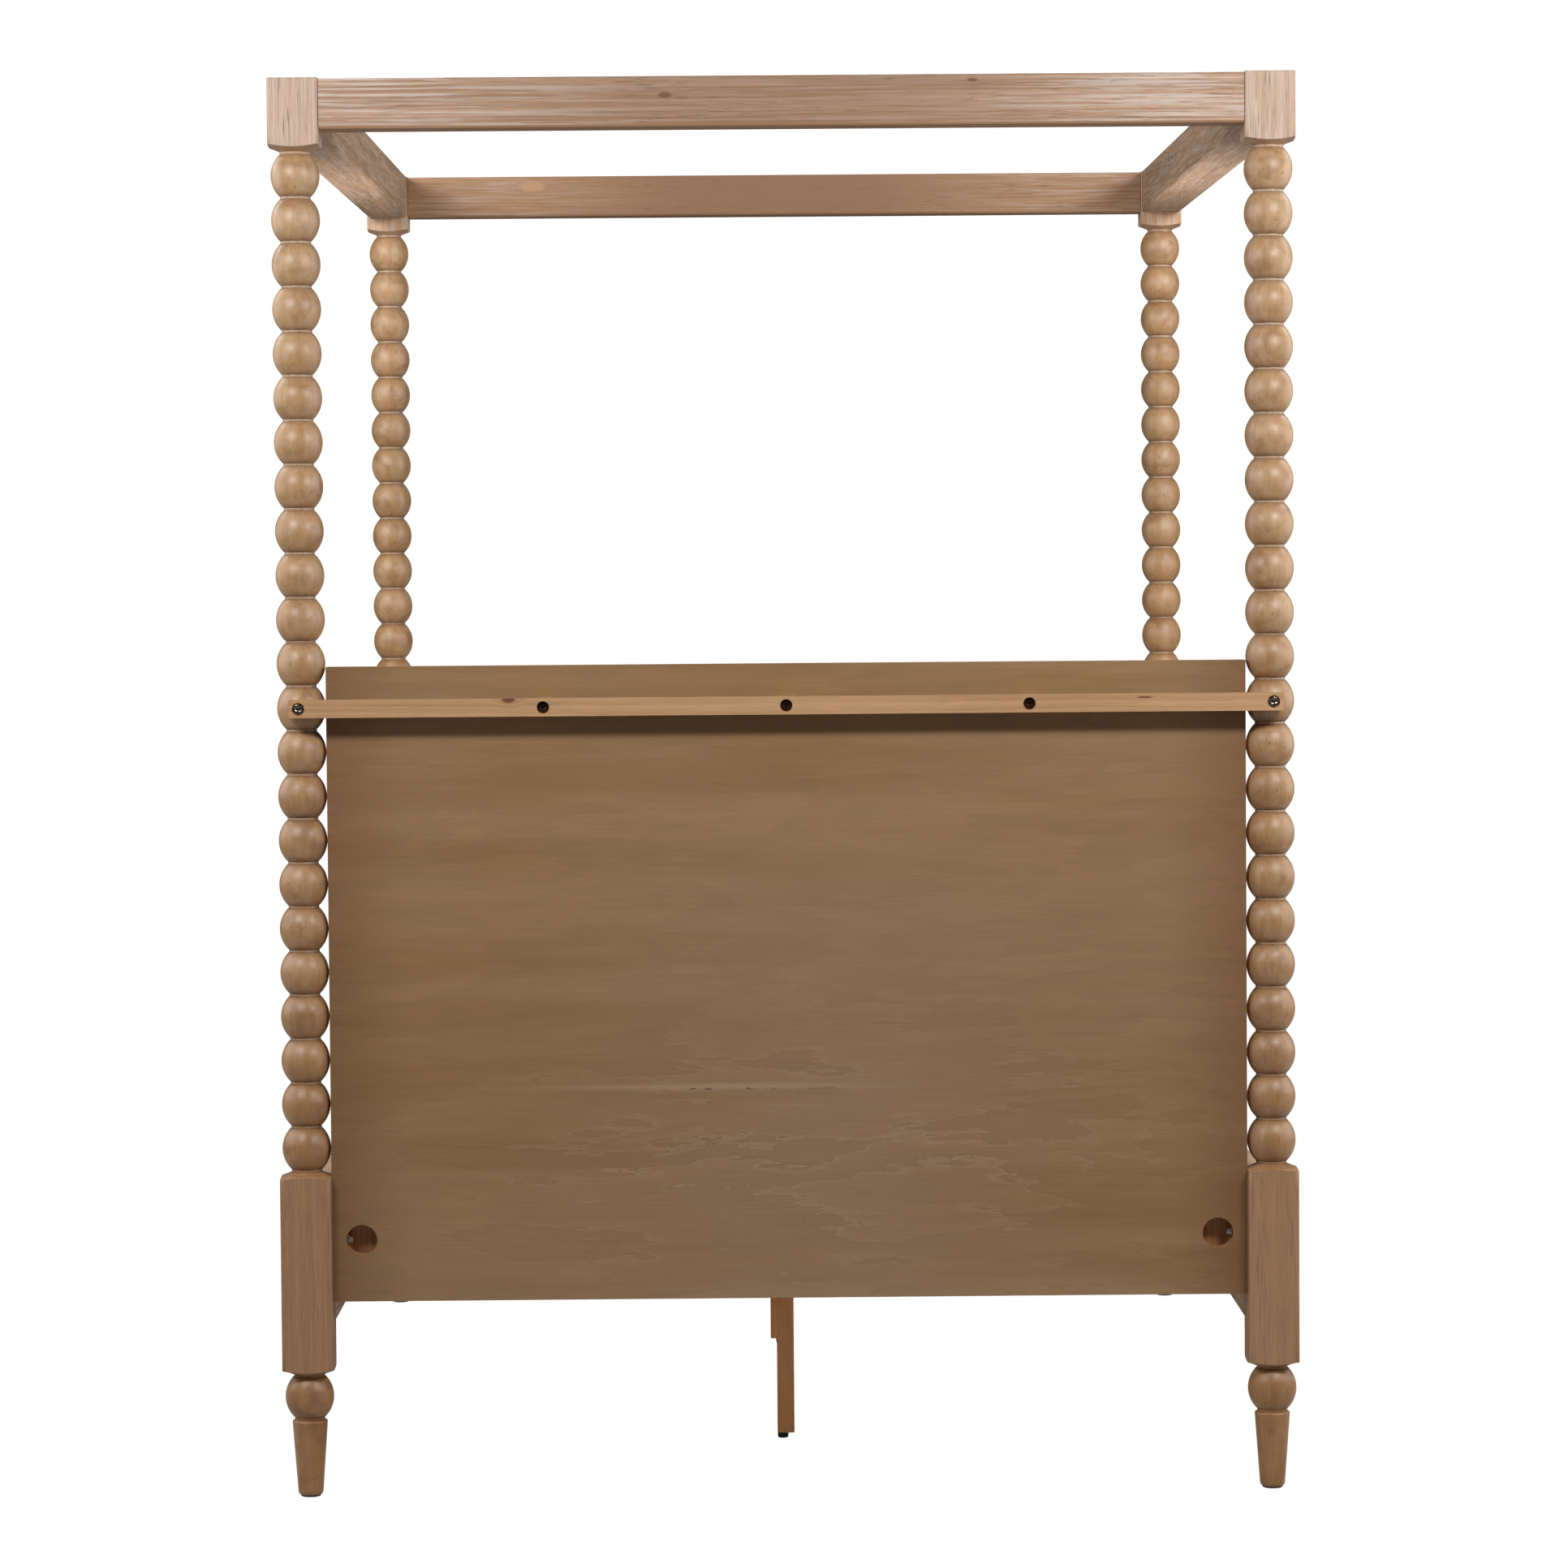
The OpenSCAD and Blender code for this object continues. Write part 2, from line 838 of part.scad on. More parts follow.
module ledger_screws() {
    color(zinc)
        for (side = [-1, 1])
            at_ledger_screws(side)
                translate([-ledger_w, 0, 0])
                    wood_screw(ledger_w, 0);
}

module centre_beam() {
    color(pine)
        translate([-beam_w / 2, panel_front_y + hanger_t, beam_low_z])
            difference() {
                cube([beam_w, foot_rail_inner_y - panel_front_y - 2 * hanger_t, beam_h]);
                for (i = [0, 1])
                    translate([beam_w / 2 + leg_x[i], leg_y[i] - panel_front_y - hanger_t, -1])
                        cylinder(r = bolt_r + fit, h = 1 + leg_bolt_in_beam + hole_room);
            }
}

// Steel shoe that carries an end of the beam, its back at y = 0 and open towards +Y
module beam_shoe() {
    difference() {
        translate([-beam_w / 2 - hanger_t, 0, beam_low_z - hanger_t])
            cube([beam_w + 2 * hanger_t, hanger_reach, beam_h + hanger_t]);
        translate([-beam_w / 2, hanger_t, beam_low_z])
            cube([beam_w, hanger_reach, beam_h + 1]);
    }
}

module beam_hangers() {
    color(zinc) {
        translate([0, panel_front_y, 0])
            beam_shoe();
        translate([0, foot_rail_inner_y, 0])
            mirror([0, 1, 0])
                beam_shoe();
    }
}

// Puts a child at the screw in slat i on one side, the screw pointing along the child's +X
module at_slat_screw(i, side) {
    translate([side * (rail_inner_x - slat_screw_side), slat_first_y + (i - 1) * slat_step + slat_w / 2,
               slat_top_z])
        rotate([0, 90, 0])
            children();
}

module slat(i) {
    l = 2 * (rail_inner_x - slat_end_gap);
    color(pine)
        difference() {
            translate([-l / 2, slat_first_y + (i - 1) * slat_step, slat_low_z])
                cube([l, slat_w, slat_t]);
            for (side = [-1, 1])
                at_slat_screw(i, side)
                    wood_screw(slat_t + 1, fit);
        }
}

module slat_screws() {
    color(zinc)
        for (i = [1:slat_count])
            for (side = [-1, 1])
                at_slat_screw(i, side)
                    wood_screw(slat_t + slat_screw_in, 0);
}

// ---- Centre legs and levellers ----

// The second leg is turned half round, so its leveller is on its right
module centre_leg(i) {
    translate([leg_x[i], leg_y[i], 0])
        difference() {
            translate([-leg_w / 2, -leg_d / 2, leg_low_z])
                cube([leg_w, leg_d, leg_high_z - leg_low_z]);
            translate([pad_x[i] - leg_x[i], 0, leg_low_z - 1])
                cylinder(r = leg_insert_r, h = stem_well + 1);
            translate([0, 0, leg_high_z - leg_bolt_in_leg - hole_room])
                cylinder(r = bolt_r + fit, h = leg_bolt_in_leg + hole_room + 1);
        }
}

module head_centre_leg() { color(leg_wood) centre_leg(0); }
module foot_centre_leg() { color(leg_wood) centre_leg(1); }

module leg_plates() {
    color(zinc)
        for (i = [0, 1])
            translate([leg_x[i], leg_y[i], leg_high_z])
                difference() {
                    translate([-leg_plate_w / 2, -leg_plate_l / 2, 0])
                        cube([leg_plate_w, leg_plate_l, leg_plate_t]);
                    translate([0, 0, -1])
                        cylinder(r = bolt_r + fit, h = leg_plate_t + 2);
                }
}

module leg_hanger_bolts() {
    color(zinc)
        for (i = [0, 1])
            translate([leg_x[i], leg_y[i], leg_high_z - leg_bolt_in_leg])
                cylinder(r = bolt_r, h = leg_bolt_in_leg + leg_plate_t + leg_bolt_in_beam);
}

module leg_inserts() {
    color(zinc)
        for (i = [0, 1])
            translate([pad_x[i], leg_y[i], leg_low_z])
                difference() {
                    cylinder(r = leg_insert_r, h = leg_insert_l);
                    translate([0, 0, -1])
                        cylinder(r = stem_r + fit, h = leg_insert_l + 2);
                }
}

module leveller_stem(i) {
    color(zinc)
        translate([pad_x[i], leg_y[i], pad_floor])
            cylinder(r = stem_r, h = stem_l);
}

module leveller_pad(i) {
    color("#262626")
        translate([pad_x[i], leg_y[i], 0])
            difference() {
                rotate_extrude()
                    polygon([[0, 0], [pad_r - pad_toe, 0], [pad_r, pad_toe_h],
                             [pad_r, pad_h - pad_top_ease_h], [pad_r - pad_top_ease, pad_h], [0, pad_h]]);
                translate([0, 0, pad_floor])
                    cylinder(r = stem_r, h = pad_h);
            }
}

module head_leveller_stem() { leveller_stem(0); }
module foot_leveller_stem() { leveller_stem(1); }
module head_leveller_pad() { leveller_pad(0); }
module foot_leveller_pad() { leveller_pad(1); }

head_left_lower_post();
head_right_lower_post();
foot_left_lower_post();
foot_right_lower_post();
head_left_upper_post();
head_right_upper_post();
foot_left_upper_post();
foot_right_upper_post();
post_joining_screws();
post_glides();
canopy_head_rail();
canopy_foot_rail();
canopy_left_rail();
canopy_right_rail();
canopy_dowels();
canopy_bolts();
canopy_barrel_nuts();
headboard_back_skin();
headboard_front_skin();
headboard_left_stile();
headboard_right_stile();
headboard_cross_rails();
headboard_bolts();
headboard_washers();
post_inserts();
headboard_brace();
brace_end_bolts();
brace_middle_bolts();
brace_spacers();
left_side_rail();
right_side_rail();
foot_rail();
rail_hook_plates();
post_catch_plates();
left_slat_ledger();
right_slat_ledger();
ledger_screws();
centre_beam();
beam_hangers();
for (i = [1:slat_count])
    slat(i);
slat_screws();
head_centre_leg();
foot_centre_leg();
leg_plates();
leg_hanger_bolts();
leg_inserts();
head_leveller_stem();
foot_leveller_stem();
head_leveller_pad();
foot_leveller_pad();
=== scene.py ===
"""Looks of the four poster bed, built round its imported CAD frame.

Units are metres, +Z is up and the headboard stands at -Y.
"""

import math

import bmesh
import bpy
from mathutils import Matrix, Vector


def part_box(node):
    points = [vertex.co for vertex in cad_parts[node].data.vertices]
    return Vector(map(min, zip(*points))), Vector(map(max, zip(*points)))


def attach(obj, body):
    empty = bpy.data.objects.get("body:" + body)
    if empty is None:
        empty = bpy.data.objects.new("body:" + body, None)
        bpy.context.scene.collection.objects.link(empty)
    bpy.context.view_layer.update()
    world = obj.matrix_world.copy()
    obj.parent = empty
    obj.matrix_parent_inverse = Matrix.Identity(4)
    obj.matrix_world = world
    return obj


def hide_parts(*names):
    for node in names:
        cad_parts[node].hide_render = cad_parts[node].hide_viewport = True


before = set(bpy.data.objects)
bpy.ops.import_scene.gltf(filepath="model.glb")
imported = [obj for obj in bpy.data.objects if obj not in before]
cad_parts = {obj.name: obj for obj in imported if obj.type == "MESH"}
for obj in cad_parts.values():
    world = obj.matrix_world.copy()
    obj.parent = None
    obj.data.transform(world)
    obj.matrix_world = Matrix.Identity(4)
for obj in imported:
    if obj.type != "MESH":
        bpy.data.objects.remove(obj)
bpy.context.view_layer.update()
MM = 0.001
BED = "bed"

# ---------------------------------------------------------------- sizes

HEAD_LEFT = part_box("head_left_lower_post")
POST_W = HEAD_LEFT[1][0] - HEAD_LEFT[0][0]
HALF = POST_W / 2
JOINT_Z = HEAD_LEFT[1][2]
TOP_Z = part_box("head_left_upper_post")[1][2]
FOOT_Z = HEAD_LEFT[0][2]

# Turned outline of the posts: beads, the rings between them, and the shoulders of the blocks
BEADS_LOWER = 12
BEADS_UPPER = 11
BEAD_R = 39.4 * MM
BEAD_ARC_R = 47.3 * MM
RING_R = 24.9 * MM
RING_H = 4.5 * MM
GROOVE_R = 23.9 * MM
CORNER_R = 56.6 * MM
BLOCK_HIGH_H = 106 * MM
SHOULDER_SLOPE = 0.19768
SHOULDER_CURVE = 4.059
SHOULDER_H = 10.3 * MM
BEAD_PITCH = (TOP_Z - BLOCK_HIGH_H - SHOULDER_H - RING_H / 2 - JOINT_Z) / BEADS_UPPER
BLOCK_TOP_Z = JOINT_Z - BEADS_LOWER * BEAD_PITCH - RING_H / 2 - SHOULDER_H
FIRST_RING_Z = BLOCK_TOP_Z + SHOULDER_H + RING_H / 2
LAST_RING_Z = JOINT_Z + BEADS_UPPER * BEAD_PITCH
BLOCK_LOW_Z = 210 * MM
BALL_HALF = 33 * MM

# Columns round a post, and how many of each quarter lie on a block's flat
COLUMNS = 96
FLAT_COLUMNS = 18
CORNER_COLUMNS = COLUMNS // 4 - FLAT_COLUMNS

# Bolts of the brace: how deep the heads are seated, and the shank
END_SEAT = 7 * MM
MIDDLE_SEAT = 15 * MM
SHANK_R = 5 * MM
SHANK_L = 44 * MM

# ---------------------------------------------------------------- camera, light and tones

# Camera, from the back of the head posts; angles in radians
LENS = 115.86
CAMERA_X = -0.0610
CAMERA_BACK = 8.1277
CAMERA_Z = 1.5290
CAMERA_YAW = -0.00695
CAMERA_PITCH = -0.04581
CAMERA_ROLL = -0.00787

# Lamps, a pair being the left and the right one
KEY_WATTS = (42, 49)
SIDE_WATTS = (36, 42)
SIDE_Z = (2.0, 1.7)
BACK_WATTS = 18
LIFT_WATTS = 6
LOW_WATTS = 0.24
FILL_WATTS = 80

# Background for all but the camera, background for the camera, and the floor for the camera
ROOM_GLOW = 0.06
BACKDROP_GLOW = 1.1
FLOOR_GLOW = 1.02

# Gap in mm between the rings of the ring texture
RING_GAP_AT_SCALE_1 = 314.0

# Usual tones of the woods, as 0-255 display values
PORE = (70, 50, 38)
KNOT = (112, 76, 54)
CHALK = (211, 196, 187)
# Browner middle of a rail: painted shade, set against its paler ends, which are a painted
# reflection
PAINTED_DIM_MIDDLE = (134, 98, 69)
CORE_TONES = ((168, 120, 80), (186, 137, 94), (200, 153, 110))
FRAME_TONES = ((190, 152, 110), (206, 170, 128), (220, 190, 150))


# ---------------------------------------------------------------- node graphs

class Graph:
    """Short calls for building one material's nodes."""

    def __init__(self, name):
        self.mat = bpy.data.materials.new(name)
        self.mat.use_nodes = True
        self.tree = self.mat.node_tree
        self.bsdf = self.tree.nodes["Principled BSDF"]
        self.point = self.new("ShaderNodeTexCoord").outputs["Object"]

    def new(self, kind, **settings):
        node = self.tree.nodes.new(kind)
        for key, value in settings.items():
            setattr(node, key, value)
        return node

    def put(self, socket, value):
        if isinstance(value, bpy.types.NodeSocket):
            self.tree.links.new(value, socket)
        else:
            socket.default_value = value

    def place(self, scale, offset=(0, 0, 0)):
        """Object coordinates scaled per axis, then shifted."""
        node = self.new("ShaderNodeMapping")
        self.put(node.inputs["Vector"], self.point)
        node.inputs["Location"].default_value = offset
        node.inputs["Scale"].default_value = scale
        return node.outputs["Vector"]

    def noise(self, vector, detail=3.0, rough=0.5, warp=0.0):
        node = self.new("ShaderNodeTexNoise")
        self.put(node.inputs["Vector"], vector)
        node.inputs["Scale"].default_value = 1.0
        node.inputs["Detail"].default_value = detail
        node.inputs["Roughness"].default_value = rough
        node.inputs["Distortion"].default_value = warp
        return node.outputs["Fac"]

    def math(self, op, a, b=0.0):
        node = self.new("ShaderNodeMath", operation=op)
        self.put(node.inputs[0], a)
        self.put(node.inputs[1], b)
        return node.outputs[0]

    def remap(self, value, low, high, to_low=0.0, to_high=1.0, smooth=True):
        kind = "SMOOTHSTEP" if smooth else "LINEAR"
        node = self.new("ShaderNodeMapRange", interpolation_type=kind)
        self.put(node.inputs["Value"], value)
        node.inputs["From Min"].default_value = low
        node.inputs["From Max"].default_value = high
        node.inputs["To Min"].default_value = to_low
        node.inputs["To Max"].default_value = to_high
        return node.outputs["Result"]

    def mix(self, fac, a, b, blend="MIX"):
        node = self.new("ShaderNodeMix", data_type="RGBA", blend_type=blend)
        self.put(node.inputs["Factor"], fac)
        for socket, value in ((node.inputs[6], a), (node.inputs[7], b)):
            linked = isinstance(value, bpy.types.NodeSocket)
            self.put(socket, value if linked else (*value, 1.0))
        return node.outputs[2]

    def axis(self, letter):
        node = self.new("ShaderNodeSeparateXYZ")
        self.put(node.inputs[0], self.point)
        return node.outputs[letter]

    def near(self, centre, reach):
        """1 at the centre, falling to 0 at the ellipsoid whose half axes are reach."""
        move = self.new("ShaderNodeVectorMath", operation="SUBTRACT")
        self.put(move.inputs[0], self.point)
        move.inputs[1].default_value = centre
        squash = self.new("ShaderNodeVectorMath", operation="DIVIDE")
        self.put(squash.inputs[0], move.outputs[0])
        squash.inputs[1].default_value = reach
        length = self.new("ShaderNodeVectorMath", operation="LENGTH")
        self.put(length.inputs[0], squash.outputs[0])
        return self.remap(length.outputs["Value"], 1.0, 0.0)

    def grey(self, value):
        node = self.new("ShaderNodeCombineColor")
        for i in range(3):
            self.put(node.inputs[i], value)
        return node.outputs[0]

    def bump(self, height, distance):
        node = self.new("ShaderNodeBump")
        self.put(node.inputs["Height"], height)
        node.inputs["Distance"].default_value = distance
        node.inputs["Strength"].default_value = 1.0
        return node.outputs["Normal"]

    def finish(self, colour, rough, normal, **fixed):
        self.put(self.bsdf.inputs["Base Color"], colour)
        self.put(self.bsdf.inputs["Roughness"], rough)
        self.put(self.bsdf.inputs["Normal"], normal)
        for name, value in fixed.items():
            self.bsdf.inputs[name.replace("_", " ")].default_value = value
        return self.mat


def linear(r, g, b):
    """Colour given as 0-255 display values, as linear light."""
    out = []
    for c in (r, g, b):
        c = c / 255
        out.append(c / 12.92 if c <= 0.04045 else ((c + 0.055) / 1.055) ** 2.4)
    return tuple(out)


def along(grain, long, across):
    """Scale per axis with one value along the grain and another across it."""
    return tuple(long if letter == grain else across for letter in "XYZ")


def wood(name, grain, seed, dark, mid, light, figure=0.35, pores=0.5, pore_colour=PORE,
         fibre=0.25, ring_gap=5.0, rough=0.5, relief=0.12, coat=0.0, knots=(), limed=0.0,
         streaks=(1.6, 42.0), dashes=(30.0, 480.0), chalk_at=(7.0, 160.0), painted_end_sheen=0.0,
         edge_z=None, knot_colour=KNOT):
    """Solid wood: growth rings, broad streaks, fibres and open pores, all in three dimensions.

    Figure, pores, fibre and limed are strengths; ring_gap and relief are in mm. Streaks, dashes
    and chalk_at are scales along and across the grain. A knot is a centre and three half axes.
    """
    g = Graph(name)
    shift = (seed * 1.37 + 0.21, seed * 0.73 + 0.11, seed * 2.11 + 0.37)
    wander = g.noise(g.place(along(grain, 0.9, 5.0), shift), 2.0, 0.55)
    heart = tuple(0.13 + 0.05 * math.sin(seed * 7 + i) for i in range(3))
    board = g.place(along(grain, 0.035, 1.0), heart)
    rings = g.new("ShaderNodeTexWave", wave_type="RINGS", rings_direction=grain, wave_profile="SAW")
    g.put(rings.inputs["Vector"], board)
    rings.inputs["Scale"].default_value = RING_GAP_AT_SCALE_1 / ring_gap
    rings.inputs["Distortion"].default_value = 0.0
    phase = g.math("MULTIPLY", wander, 34.0)
    for centre, reach in knots:
        phase = g.math("ADD", phase, g.math("MULTIPLY", g.near(centre, reach), 9.0))
    g.put(rings.inputs["Phase Offset"], phase)
    ring = g.remap(rings.outputs["Fac"], 0.15, 1.0)
    streak = g.noise(g.place(along(grain, *streaks), shift), 4.0, 0.6, 0.2)
    patch = g.noise(g.place(along(grain, 2.0, 6.0), shift), 2.0, 0.5)
    fine = g.noise(g.place(along(grain, 22.0, 900.0), shift), 2.0, 0.6)
    tone = g.mix(g.remap(streak, 0.38, 0.62), linear(*dark), linear(*mid))
    tone = g.mix(g.remap(patch, 0.4, 0.8, 0.0, 0.6), tone, linear(*mid))
    tone = g.mix(g.math("MULTIPLY", ring, figure), tone, linear(*light))
    shade = g.remap(fine, 0.3, 0.7, 1.0 - fibre, 1.0 + fibre * 0.5)
    tone = g.mix(1.0, tone, g.grey(shade), "MULTIPLY")
    if limed:
        chalk = g.noise(g.place(along(grain, *chalk_at), shift), 3.0, 0.6, 0.2)
        chalk = g.remap(chalk, 0.45, 0.62, 0.0, limed)
        # Painted reflection: the chalk thins towards the middle of X, so the ends stay paler, as if
        # lit by the side lamps.
        if painted_end_sheen:
            off = g.math("ABSOLUTE", g.axis("X"))
            chalk = g.math("MULTIPLY", chalk, g.remap(off, 0.1, 0.6, 1.0 - painted_end_sheen, 1.0))
        tone = g.mix(chalk, tone, linear(*CHALK))
        # Painted shade: the middle of X is turned browner.
        if painted_end_sheen:
            tone = g.mix(g.remap(off, 0.15, 0.65, painted_end_sheen, 0.0), tone, linear(*PAINTED_DIM_MIDDLE))
    hole = g.noise(g.place(along(grain, *dashes), shift), 1.0, 0.4)
    spread = g.noise(g.place(along(grain, 5.0, 30.0), shift), 2.0, 0.5)
    pore = g.math("MULTIPLY", g.remap(hole, 0.6, 0.72), g.remap(spread, 0.35, 0.65))
    tone = g.mix(g.math("MULTIPLY", pore, pores), tone, linear(*pore_colour))
    for centre, reach in knots:
        core = tuple(r * 0.55 for r in reach)
        tone = g.mix(g.math("MULTIPLY", g.near(centre, reach), 0.55), tone, linear(*dark))
        tone = g.mix(g.remap(g.near(centre, core), 0.0, 0.5, 0.0, 0.85), tone, linear(*knot_colour))
    if edge_z is not None:
        arris = g.remap(g.axis("Z"), edge_z + 2 * MM, edge_z + 5 * MM, 0.75, 0.0)
        tone = g.mix(arris, tone, linear(178, 136, 100))
    height = g.math("SUBTRACT", g.math("MULTIPLY", fine, 0.5), pore)
    height = g.math("SUBTRACT", height, g.math("MULTIPLY", ring, 0.35))
    normal = g.bump(height, relief * MM)
    gloss = g.remap(streak, 0.2, 0.8, rough - 0.05, rough + 0.07)
    return g.finish(tone, g.math("ADD", gloss, g.math("MULTIPLY", pore, 0.2)), normal,
                    Coat_Weight=coat, Coat_Roughness=0.28)


def turned_wood(name, seed):
    """Glazed turned wood: golden streaks, glazing held by the grooves, pale rings (fuzzy wood with
    a painted highlight) and painted shade towards the floor.
    """
    g = Graph(name)
    shift = (seed * 1.37 + 0.21, seed * 0.73 + 0.11, seed * 2.11 + 0.37)
    streak = g.noise(g.place((50.0, 50.0, 4.0), shift), 3.0, 0.55)
    thread = g.noise(g.place((230.0, 230.0, 9.0), shift), 3.0, 0.6)
    blotch = g.noise(g.place((19.0, 19.0, 24.0), shift), 4.0, 0.6, 0.5)
    fine = g.noise(g.place((900.0, 900.0, 40.0), shift), 2.0, 0.6)
    tone = g.mix(g.remap(streak, 0.36, 0.64), linear(185, 141, 95), linear(196, 156, 119))
    tone = g.mix(g.remap(blotch, 0.47, 0.7, 0.0, 0.62), tone, linear(150, 106, 69))
    tone = g.mix(g.remap(blotch, 0.3, 0.44, 0.4, 0.0), tone, linear(203, 168, 136))
    tone = g.mix(1.0, tone, g.grey(g.remap(thread, 0.3, 0.7, 0.91, 1.06)), "MULTIPLY")
    step = g.math("DIVIDE", g.math("SUBTRACT", g.axis("Z"), FIRST_RING_Z), BEAD_PITCH)
    off = g.math("SUBTRACT", g.math("FRACT", step), 0.5)
    off = g.math("MULTIPLY", g.math("ABSOLUTE", off), 2.0)
    beaded = g.math("MULTIPLY", g.remap(g.axis("Z"), FIRST_RING_Z - 2 * MM, FIRST_RING_Z - 1 * MM),
                    g.remap(g.axis("Z"), LAST_RING_Z + 1 * MM, LAST_RING_Z + 2 * MM, 1.0, 0.0))
    groove = g.math("MULTIPLY", g.remap(off, 0.66, 0.93), beaded)
    held = g.math("MULTIPLY", groove, g.remap(thread, 0.35, 0.6, 0.15, 0.6))
    tone = g.mix(held, tone, linear(136, 98, 68))
    # Pale rings: partly the fuzzy wood of the rings, partly a painted highlight along them.
    collar = g.math("MULTIPLY", g.remap(off, 0.94, 0.965), beaded)
    ring_mottle = g.noise(g.place((520.0, 520.0, 420.0), shift), 2.0, 0.7)
    pale = g.mix(g.remap(ring_mottle, 0.35, 0.65), linear(166, 130, 100), linear(206, 180, 154))
    tone = g.mix(g.math("MULTIPLY", collar, 0.65), tone, pale)
    speck = g.noise(g.place((210.0, 210.0, 150.0), shift), 1.0, 0.5)
    speck = g.remap(speck, 0.71, 0.77, 0.0, 0.6)
    tone = g.mix(speck, tone, linear(84, 58, 42))
    # Painted shade: the wood is multiplied darker and warmer towards the floor, where less light
    # reaches it.
    up = g.remap(g.axis("Z"), 0.12, 2.15, smooth=False)
    painted_low_shade = g.mix(up, (0.72, 0.6, 0.41), (0.94, 0.98, 0.98))
    tone = g.mix(1.0, tone, painted_low_shade, "MULTIPLY")
    height = g.math("ADD", g.math("MULTIPLY", fine, 0.5), g.math("MULTIPLY", thread, 0.5))
    normal = g.bump(height, 0.07 * MM)
    gloss = g.remap(thread, 0.3, 0.7, 0.4, 0.52)
    gloss = g.math("ADD", gloss, g.math("MULTIPLY", collar, 0.12))
    return g.finish(tone, gloss, normal, Coat_Weight=0.3, Coat_Roughness=0.42,
                    Specular_IOR_Level=0.7, Sheen_Weight=0.12, Sheen_Roughness=0.4)


def veneer(name, seed):
    """Flat olive-brown veneer, grain along X, with a plain-sliced figure low in the middle."""
    g = Graph(name)
    lo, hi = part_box("headboard_back_skin")
    width, height = hi[0] - lo[0], hi[2] - lo[2]
    mid_x = (lo[0] + hi[0]) / 2
    shift = (seed, seed * 1.7, seed * 0.6)
    thread = g.noise(g.place((9.0, 9.0, 420.0), shift), 3.0, 0.6)
    band = g.noise(g.place((0.8, 1.0, 16.0), shift), 4.0, 0.6)
    cloud = g.noise(g.place((1.6, 1.0, 2.4), shift), 2.0, 0.5)
    tone = g.mix(g.remap(band, 0.32, 0.68), linear(146, 111, 70), linear(156, 121, 82))
    tone = g.mix(g.remap(cloud, 0.4, 0.7, 0.0, 0.6), tone, linear(151, 120, 88))
    middle = g.near((mid_x, lo[1], lo[2] + 0.35 * height), (0.42 * width, 1.0, 0.7 * height))
    tone = g.mix(g.math("MULTIPLY", middle, 0.55), tone, linear(156, 126, 98))
    # Painted shade: the veneer darkens towards both side edges, next to the posts.
    side = g.math("ABSOLUTE", g.axis("X"))
    side = g.remap(side, 0.4 * width, 0.51 * width, 0.0, 0.8)
    tone = g.mix(side, tone, linear(128, 92, 56))
    mask = g.near((mid_x + 0.03 * width, lo[1], lo[2] + 0.2 * height),
                  (0.6 * width, 1.0, 0.36 * height))
    level = g.noise(g.place((1.5, 1.0, 8.5), shift), 6.0, 0.62, 0.15)
    steps = g.math("FRACT", g.math("MULTIPLY", level, 7.0))
    edge = g.math("MULTIPLY", g.remap(steps, 0.8, 0.985), mask)
    dip = g.math("MULTIPLY", g.remap(steps, 0.0, 0.06, 1.0, 0.0), mask)
    tone = g.mix(g.math("MULTIPLY", edge, 0.32), tone, linear(176, 149, 120))
    tone = g.mix(g.math("MULTIPLY", dip, 0.34), tone, linear(118, 91, 66))
    wave = g.remap(steps, 0.1, 0.9, 0.965, 1.03)
    tone = g.mix(1.0, tone, g.grey(wave), "MULTIPLY")
    tone = g.mix(1.0, tone, g.grey(g.remap(thread, 0.3, 0.7, 0.93, 1.04)), "MULTIPLY")
    # A pale streak below the middle, with dark specks along its lower edge
    streak_at = (mid_x - 0.08 * width, lo[1], lo[2] + 0.335 * height)
    streak = g.near(streak_at, (0.3 * width, 1.0, 9 * MM))
    tone = g.mix(g.math("MULTIPLY", streak, 0.4), tone, linear(190, 164, 134))
    speck = g.remap(g.noise(g.place((55.0, 1.0, 300.0), shift), 1.0, 0.4), 0.6, 0.7)
    line = g.near((streak_at[0], lo[1], streak_at[2] - 3 * MM), (0.3 * width, 1.0, 3 * MM))
    tone = g.mix(g.math("MULTIPLY", speck, line), tone, linear(92, 66, 46))
    normal = g.bump(thread, 0.05 * MM)
    return g.finish(tone, g.remap(band, 0.3, 0.7, 0.46, 0.56), normal,
                    Coat_Weight=0.15, Coat_Roughness=0.35)


def metal(name, colour, rough, seed, wear=0.3):
    """Plated metal with a fine grain and slight tarnish."""
    g = Graph(name)
    shift = (seed, seed * 2.0, seed * 3.0)
    fine = g.noise(g.place((900.0, 900.0, 900.0), shift), 2.0, 0.6)
    stain = g.noise(g.place((70.0, 70.0, 70.0), shift), 3.0, 0.6)
    dull = linear(*(c * 0.5 for c in colour))
    tone = g.mix(g.remap(stain, 0.45, 0.75, 0.0, wear), linear(*colour), dull)
    gloss = g.remap(stain, 0.3, 0.8, rough, rough + 0.18)
    return g.finish(tone, gloss, g.bump(fine, 0.02 * MM), Metallic=1.0)


def plastic(name, colour, rough, seed):
    """Moulded plastic with a fine spark-eroded grain and scuffs."""
    g = Graph(name)
    shift = (seed, seed * 2.0, seed * 3.0)
    grain = g.noise(g.place((1400.0, 1400.0, 1400.0), shift), 2.0, 0.6)
    scuff = g.noise(g.place((160.0, 160.0, 160.0), shift), 3.0, 0.7)
    pale = tuple(min(c + 26, 255) for c in colour)
    tone = g.mix(g.remap(scuff, 0.52, 0.75, 0.0, 0.5), linear(*colour), linear(*pale))
    gloss = g.remap(scuff, 0.3, 0.8, rough, rough + 0.15)
    return g.finish(tone, gloss, g.bump(grain, 0.05 * MM))


# ---------------------------------------------------------------- meshes

